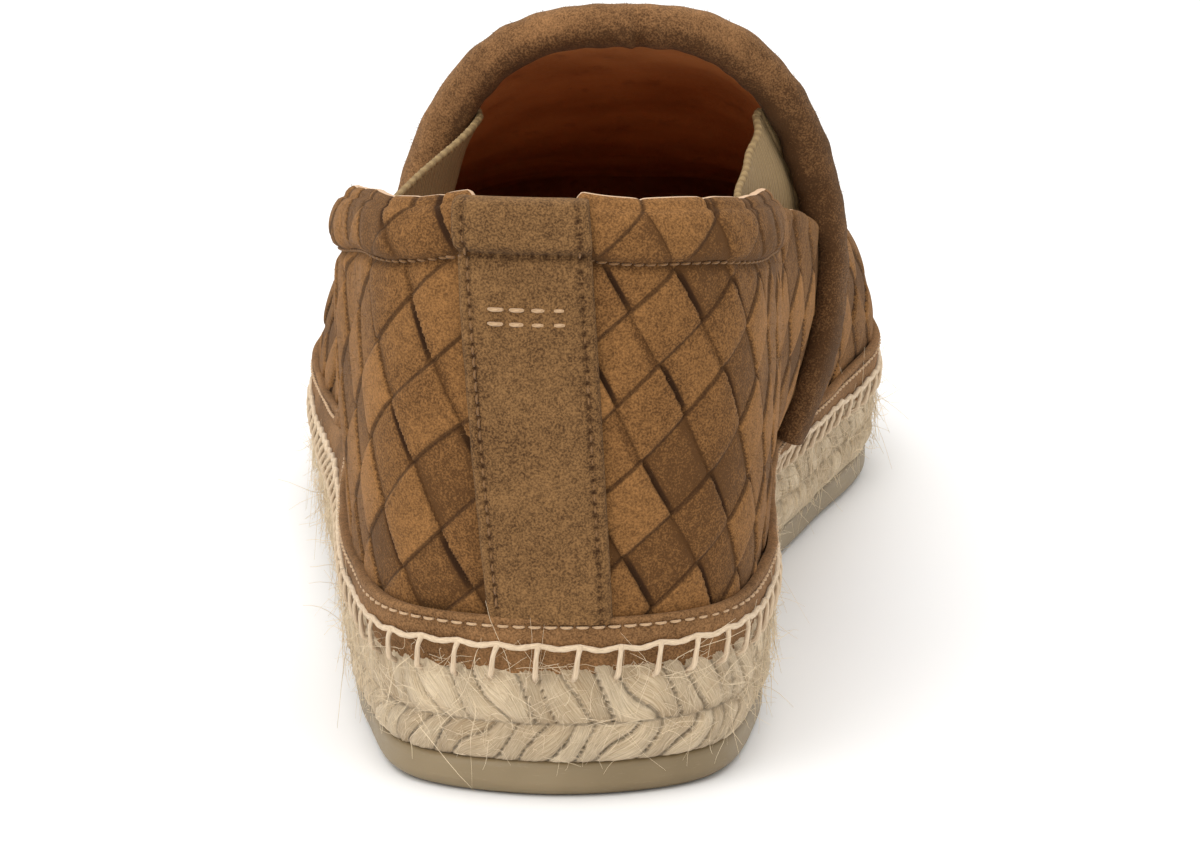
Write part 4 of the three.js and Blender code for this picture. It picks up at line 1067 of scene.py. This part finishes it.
def makeFibres(name, count, inset, outRange, lengths, seed):
    # each fibre leaves the braid, bends by a drawn curl and swirls a little; lying ones hug the yarn
    draw = np.random.default_rng(seed)
    steps = hair["points"]
    w = draw.uniform(-1, 1, count)
    t = draw.uniform(0.05, 1.1, count)
    plan = edgeAt(w, np.full(count, inset))
    foot = np.column_stack([plan, mix(juteBottom(plan[:, 1]), juteTop(plan[:, 1]), t)])
    outward = unit(plan - edgeAt(w, np.full(count, inset + 2.0)))
    outward = np.column_stack([outward, np.zeros(count)])
    along = np.column_stack([-outward[:, 1], outward[:, 0], np.zeros(count)])
    length = draw.gamma(2.0, lengths[0] / 2, count).clip(*lengths[1:]) * (0.35 + 0.65 * smooth(t, 0.05, 0.4))
    out = draw.uniform(*outRange, count)
    start = outward * out[:, None] + along * draw.normal(0, 1.0, (count, 1))
    start = start + np.array([0, 0, 1]) * draw.normal(-0.1, 0.6, (count, 1))
    curl, swirl = unit(draw.normal(0, 1, (count, 3))), unit(draw.normal(0, 1, (count, 3)))
    if outRange[1] < 0.3:  # lying fibres bend along the face only
        curl, swirl = (v - outward * np.sum(v * outward, 1, keepdims=True) * 0.9 for v in (curl, swirl))
    u = np.linspace(0, 1, steps)[None, :, None]
    path = foot[:, None] + unit(start)[:, None] * length[:, None, None] * u
    path = path + curl[:, None] * (length * draw.uniform(0.15, 0.7, count))[:, None, None] * u**2
    path = path + swirl[:, None] * (length * draw.uniform(0.0, 0.16, count))[:, None, None] * np.sin(u * 5)
    path[..., 2] = np.maximum(path[..., 2], 0.3)
    radius = hair["radius"] * (1 - 0.6 * u[..., 0]) * draw.uniform(0.7, 1.5, count)[:, None]
    points, faces = sweep(path, np.broadcast_to(outward[:, None], path.shape), radius, 3)
    uv = threadUv(count, u[0, :, 0] * 6, np.zeros(3))
    tone = np.broadcast_to(draw.uniform(0, 0.5, count)[:, None, None], points.shape[:-1])
    makePiece(name, points, faces, jute, (), {"tone": tone, "slit": 0.0}, uv)


makeFibres("looseFibres", 2200, 0.9, (0.1, 0.6), (3.0, 1.0, 8.0), 95)
makeFibres("lyingFibres", 2400, 0.15, (0.0, 0.14), (5.0, 2.0, 11.0), 96)

# Suede nap: short hairs that soften the outline of the binding and the collar
nap = {"length": 0.75, "radius": 0.03, "bindingCount": 2600, "collarCount": 2200}


def makeNap(name, source, count, material, seed, keep):
    # hairs stand on drawn faces of a piece, leaning a drawn way off the normal
    draw = np.random.default_rng(seed)
    mesh = source.data
    normals, centres = np.empty(len(mesh.polygons) * 3), np.empty(len(mesh.polygons) * 3)
    mesh.polygons.foreach_get("normal", normals)
    mesh.polygons.foreach_get("center", centres)
    normals, centres = normals.reshape(-1, 3), centres.reshape(-1, 3) / mm + np.array([*last["middle"], 0])
    chosen = draw.choice(np.flatnonzero(keep(centres, normals)), count)
    at, normal = centres[chosen], normals[chosen]
    lean = draw.normal(0, 0.6, (count, 3))
    size = nap["length"] * draw.uniform(0.4, 1.2, (count, 1))
    u = np.linspace(0, 1, 3)[None, :, None]
    path = at[:, None] + unit(normal + lean)[:, None] * size[:, None] * u + draw.normal(0, 0.15, (count, 1, 3)) * u**2
    beside = np.broadcast_to(unit(np.cross(normal, lean))[:, None], path.shape)
    points, faces = sweep(path, beside, nap["radius"] * (1 - 0.5 * u[..., 0]), 3)
    tone = np.broadcast_to(draw.uniform(-0.1, 0.35, (count, 1, 1)), points.shape[:-1])
    makePiece(name, points, faces, material, (), {"tone": tone, "slit": 0.0})


makeNap("bindingNap", bpy.data.objects["vampBinding"], nap["bindingCount"], bindingSuede, 121,
        lambda at, normal: normal[:, 2] > -0.3)
makeNap("collarNap", bpy.data.objects["quarterWeave"], nap["collarCount"], stripSuede, 122,
        lambda at, normal: at[:, 1] < 70)

# Outsole: rubber with a rounded lower edge and shallow ribs underneath
tread = {"columns": 420, "profile": 12, "across": 46, "along": 300, "ribPitch": 7.0, "ribDepth": 0.7}


def makeOutsole():
    # side: a quarter round below an upright face; underside: wavy ribs that leave the rim plain
    w = np.linspace(-1, 1, tread["columns"], endpoint=False)
    turn = np.linspace(0, np.pi / 2, tread["profile"])
    corner, thickness = sole["edgeRound"], sole["outsoleThickness"]
    inset = np.concatenate([corner * (1 - np.sin(turn)), [0, 0.0, 0.7, 6]]) + sole["outsoleInset"]
    rise = np.concatenate([corner * 0.85 * (1 - np.cos(turn)), [4.2, 5.3, thickness, thickness]])
    insets = np.broadcast_to(inset[None, :], (len(w), len(inset)))
    plan = edgeAt(np.broadcast_to(w[:, None], insets.shape), insets)
    wobble = 0.12 * waves(w[:, None] * sideLength, rise[None, :] * 4, 26, 101)
    side = np.concatenate([plan, (groundHeight(plan[..., 1]) + rise[None, :])[..., None]], -1)
    side[..., 2] = np.where(rise[None, :] > 1, side[..., 2] + wobble, side[..., 2])
    makePiece("outsoleEdge", side, gridFaces(*side.shape[:2], True), rubber, ["outsole"])
    share = np.linspace(0, 1, tread["along"])
    inset = np.full(len(share), sole["outsoleInset"] + corner)
    outer, inner = edgeAt(-share, inset), edgeAt(share, inset)
    q = np.linspace(0, 1, tread["across"])[None, :, None]
    plan = mix(outer[:, None], inner[:, None], q)
    rib = 0.5 + 0.5 * np.cos(2 * np.pi * (plan[..., 1] + 3 * np.sin(plan[..., 0] / 7)) / tread["ribPitch"])
    fromSides = np.minimum(q[..., 0], 1 - q[..., 0]) * np.linalg.norm(inner - outer, axis=1)[:, None]
    away = np.minimum(fromSides, np.minimum(plan[..., 1] - 5, 285 - plan[..., 1]))
    depth = tread["ribDepth"] * smooth(rib, 0.55, 0.85) * smooth(away, 4, 7)
    under = np.concatenate([plan, (groundHeight(plan[..., 1]) + depth)[..., None]], -1)
    makePiece("outsoleTread", under, gridFaces(*under.shape[:2]), rubber, ["outsole"])


makeOutsole()


def makeInsole():
    # a leather sheet from edge to edge across the foot, dished a little
    share = np.linspace(0, 1, 150)
    inset = np.full(150, last["featherInset"] + last["wall"] + 0.2)
    outer, inner = edgeAt(-share, inset), edgeAt(share, inset)
    q = np.linspace(0, 1, 40)[None, :, None]
    plan = mix(outer[:, None], inner[:, None], q)
    dish = 1.2 * np.abs(2 * q[..., 0] - 1) ** 3 + 0.15 * waves(plan[..., 0], plan[..., 1], 30, 111)
    points = np.concatenate([plan, (juteTop(plan[..., 1]) + 2.6 + dish)[..., None]], -1)
    makePiece("insoleCover", points, gridFaces(*points.shape[:2])[:, ::-1], lining, ["insole"],
              {"edge": 0.0})


makeInsole()

# Floor, light and camera
studio = {
    "position": (0.01176, -1.0442, 0.2828), "aim": (0.0024, -0.1436, 0.0598), "lens": 182.1, "sensor": 36.0,
    "floorSize": 4.0,
}


def makeStudio():
    half = studio["floorSize"]
    mesh = bpy.data.meshes.new("floor")
    mesh.from_pydata([(-half, -half, 0), (half, -half, 0), (half, half, 0), (-half, half, 0)], [], [(0, 1, 2, 3)])
    floor = bpy.data.objects.new("floor", mesh)
    bpy.context.scene.collection.objects.link(floor)
    material, tree, shader = newMaterial("paleFloor")
    color = blendColor(tree, noise(tree, objectPlace(tree), 3.0), (0.86, 0.86, 0.86, 1), (0.9, 0.9, 0.9, 1))
    tree.links.new(color, shader.inputs["Base Color"])
    shader.inputs["Roughness"].default_value = 0.8
    mesh.materials.append(material)
    world = bpy.data.worlds.new("studio")
    bpy.context.scene.world = world
    world.use_nodes = True
    world.node_tree.nodes["Background"].inputs[0].default_value = (1.0, 0.99, 0.97, 1)
    world.node_tree.nodes["Background"].inputs[1].default_value = 0.88
    lights = [  # name, place, aim, size, watts
        ("overhead", (-0.1, -0.1, 1.3), (0, -0.03, 0), 1.6, 15),
        ("keyBox", (-0.9, -1.1, 0.9), (0, -0.1, 0.05), 1.0, 6.5),
        ("fillBox", (0.7, -1.3, 0.6), (0, -0.1, 0.05), 1.0, 1.5),
    ]
    for name, place, aim, size, watts in lights:
        data = bpy.data.lights.new(name, "AREA")
        data.size, data.energy = size, watts
        lamp = bpy.data.objects.new(name, data)
        bpy.context.scene.collection.objects.link(lamp)
        lamp.location = place
        lamp.rotation_euler = (Vector(aim) - Vector(place)).to_track_quat("-Z", "Y").to_euler()
    data = bpy.data.cameras.new("camera")
    data.lens, data.sensor_width = studio["lens"], studio["sensor"]
    data.clip_start, data.clip_end = 0.05, 30
    camera = bpy.data.objects.new("camera", data)
    bpy.context.scene.collection.objects.link(camera)
    camera.location = studio["position"]
    camera.rotation_euler = (Vector(studio["aim"]) - Vector(studio["position"])).to_track_quat("-Z", "Y").to_euler()
    bpy.context.scene.camera = camera
    bpy.context.scene.view_settings.view_transform = "Standard"


makeStudio()
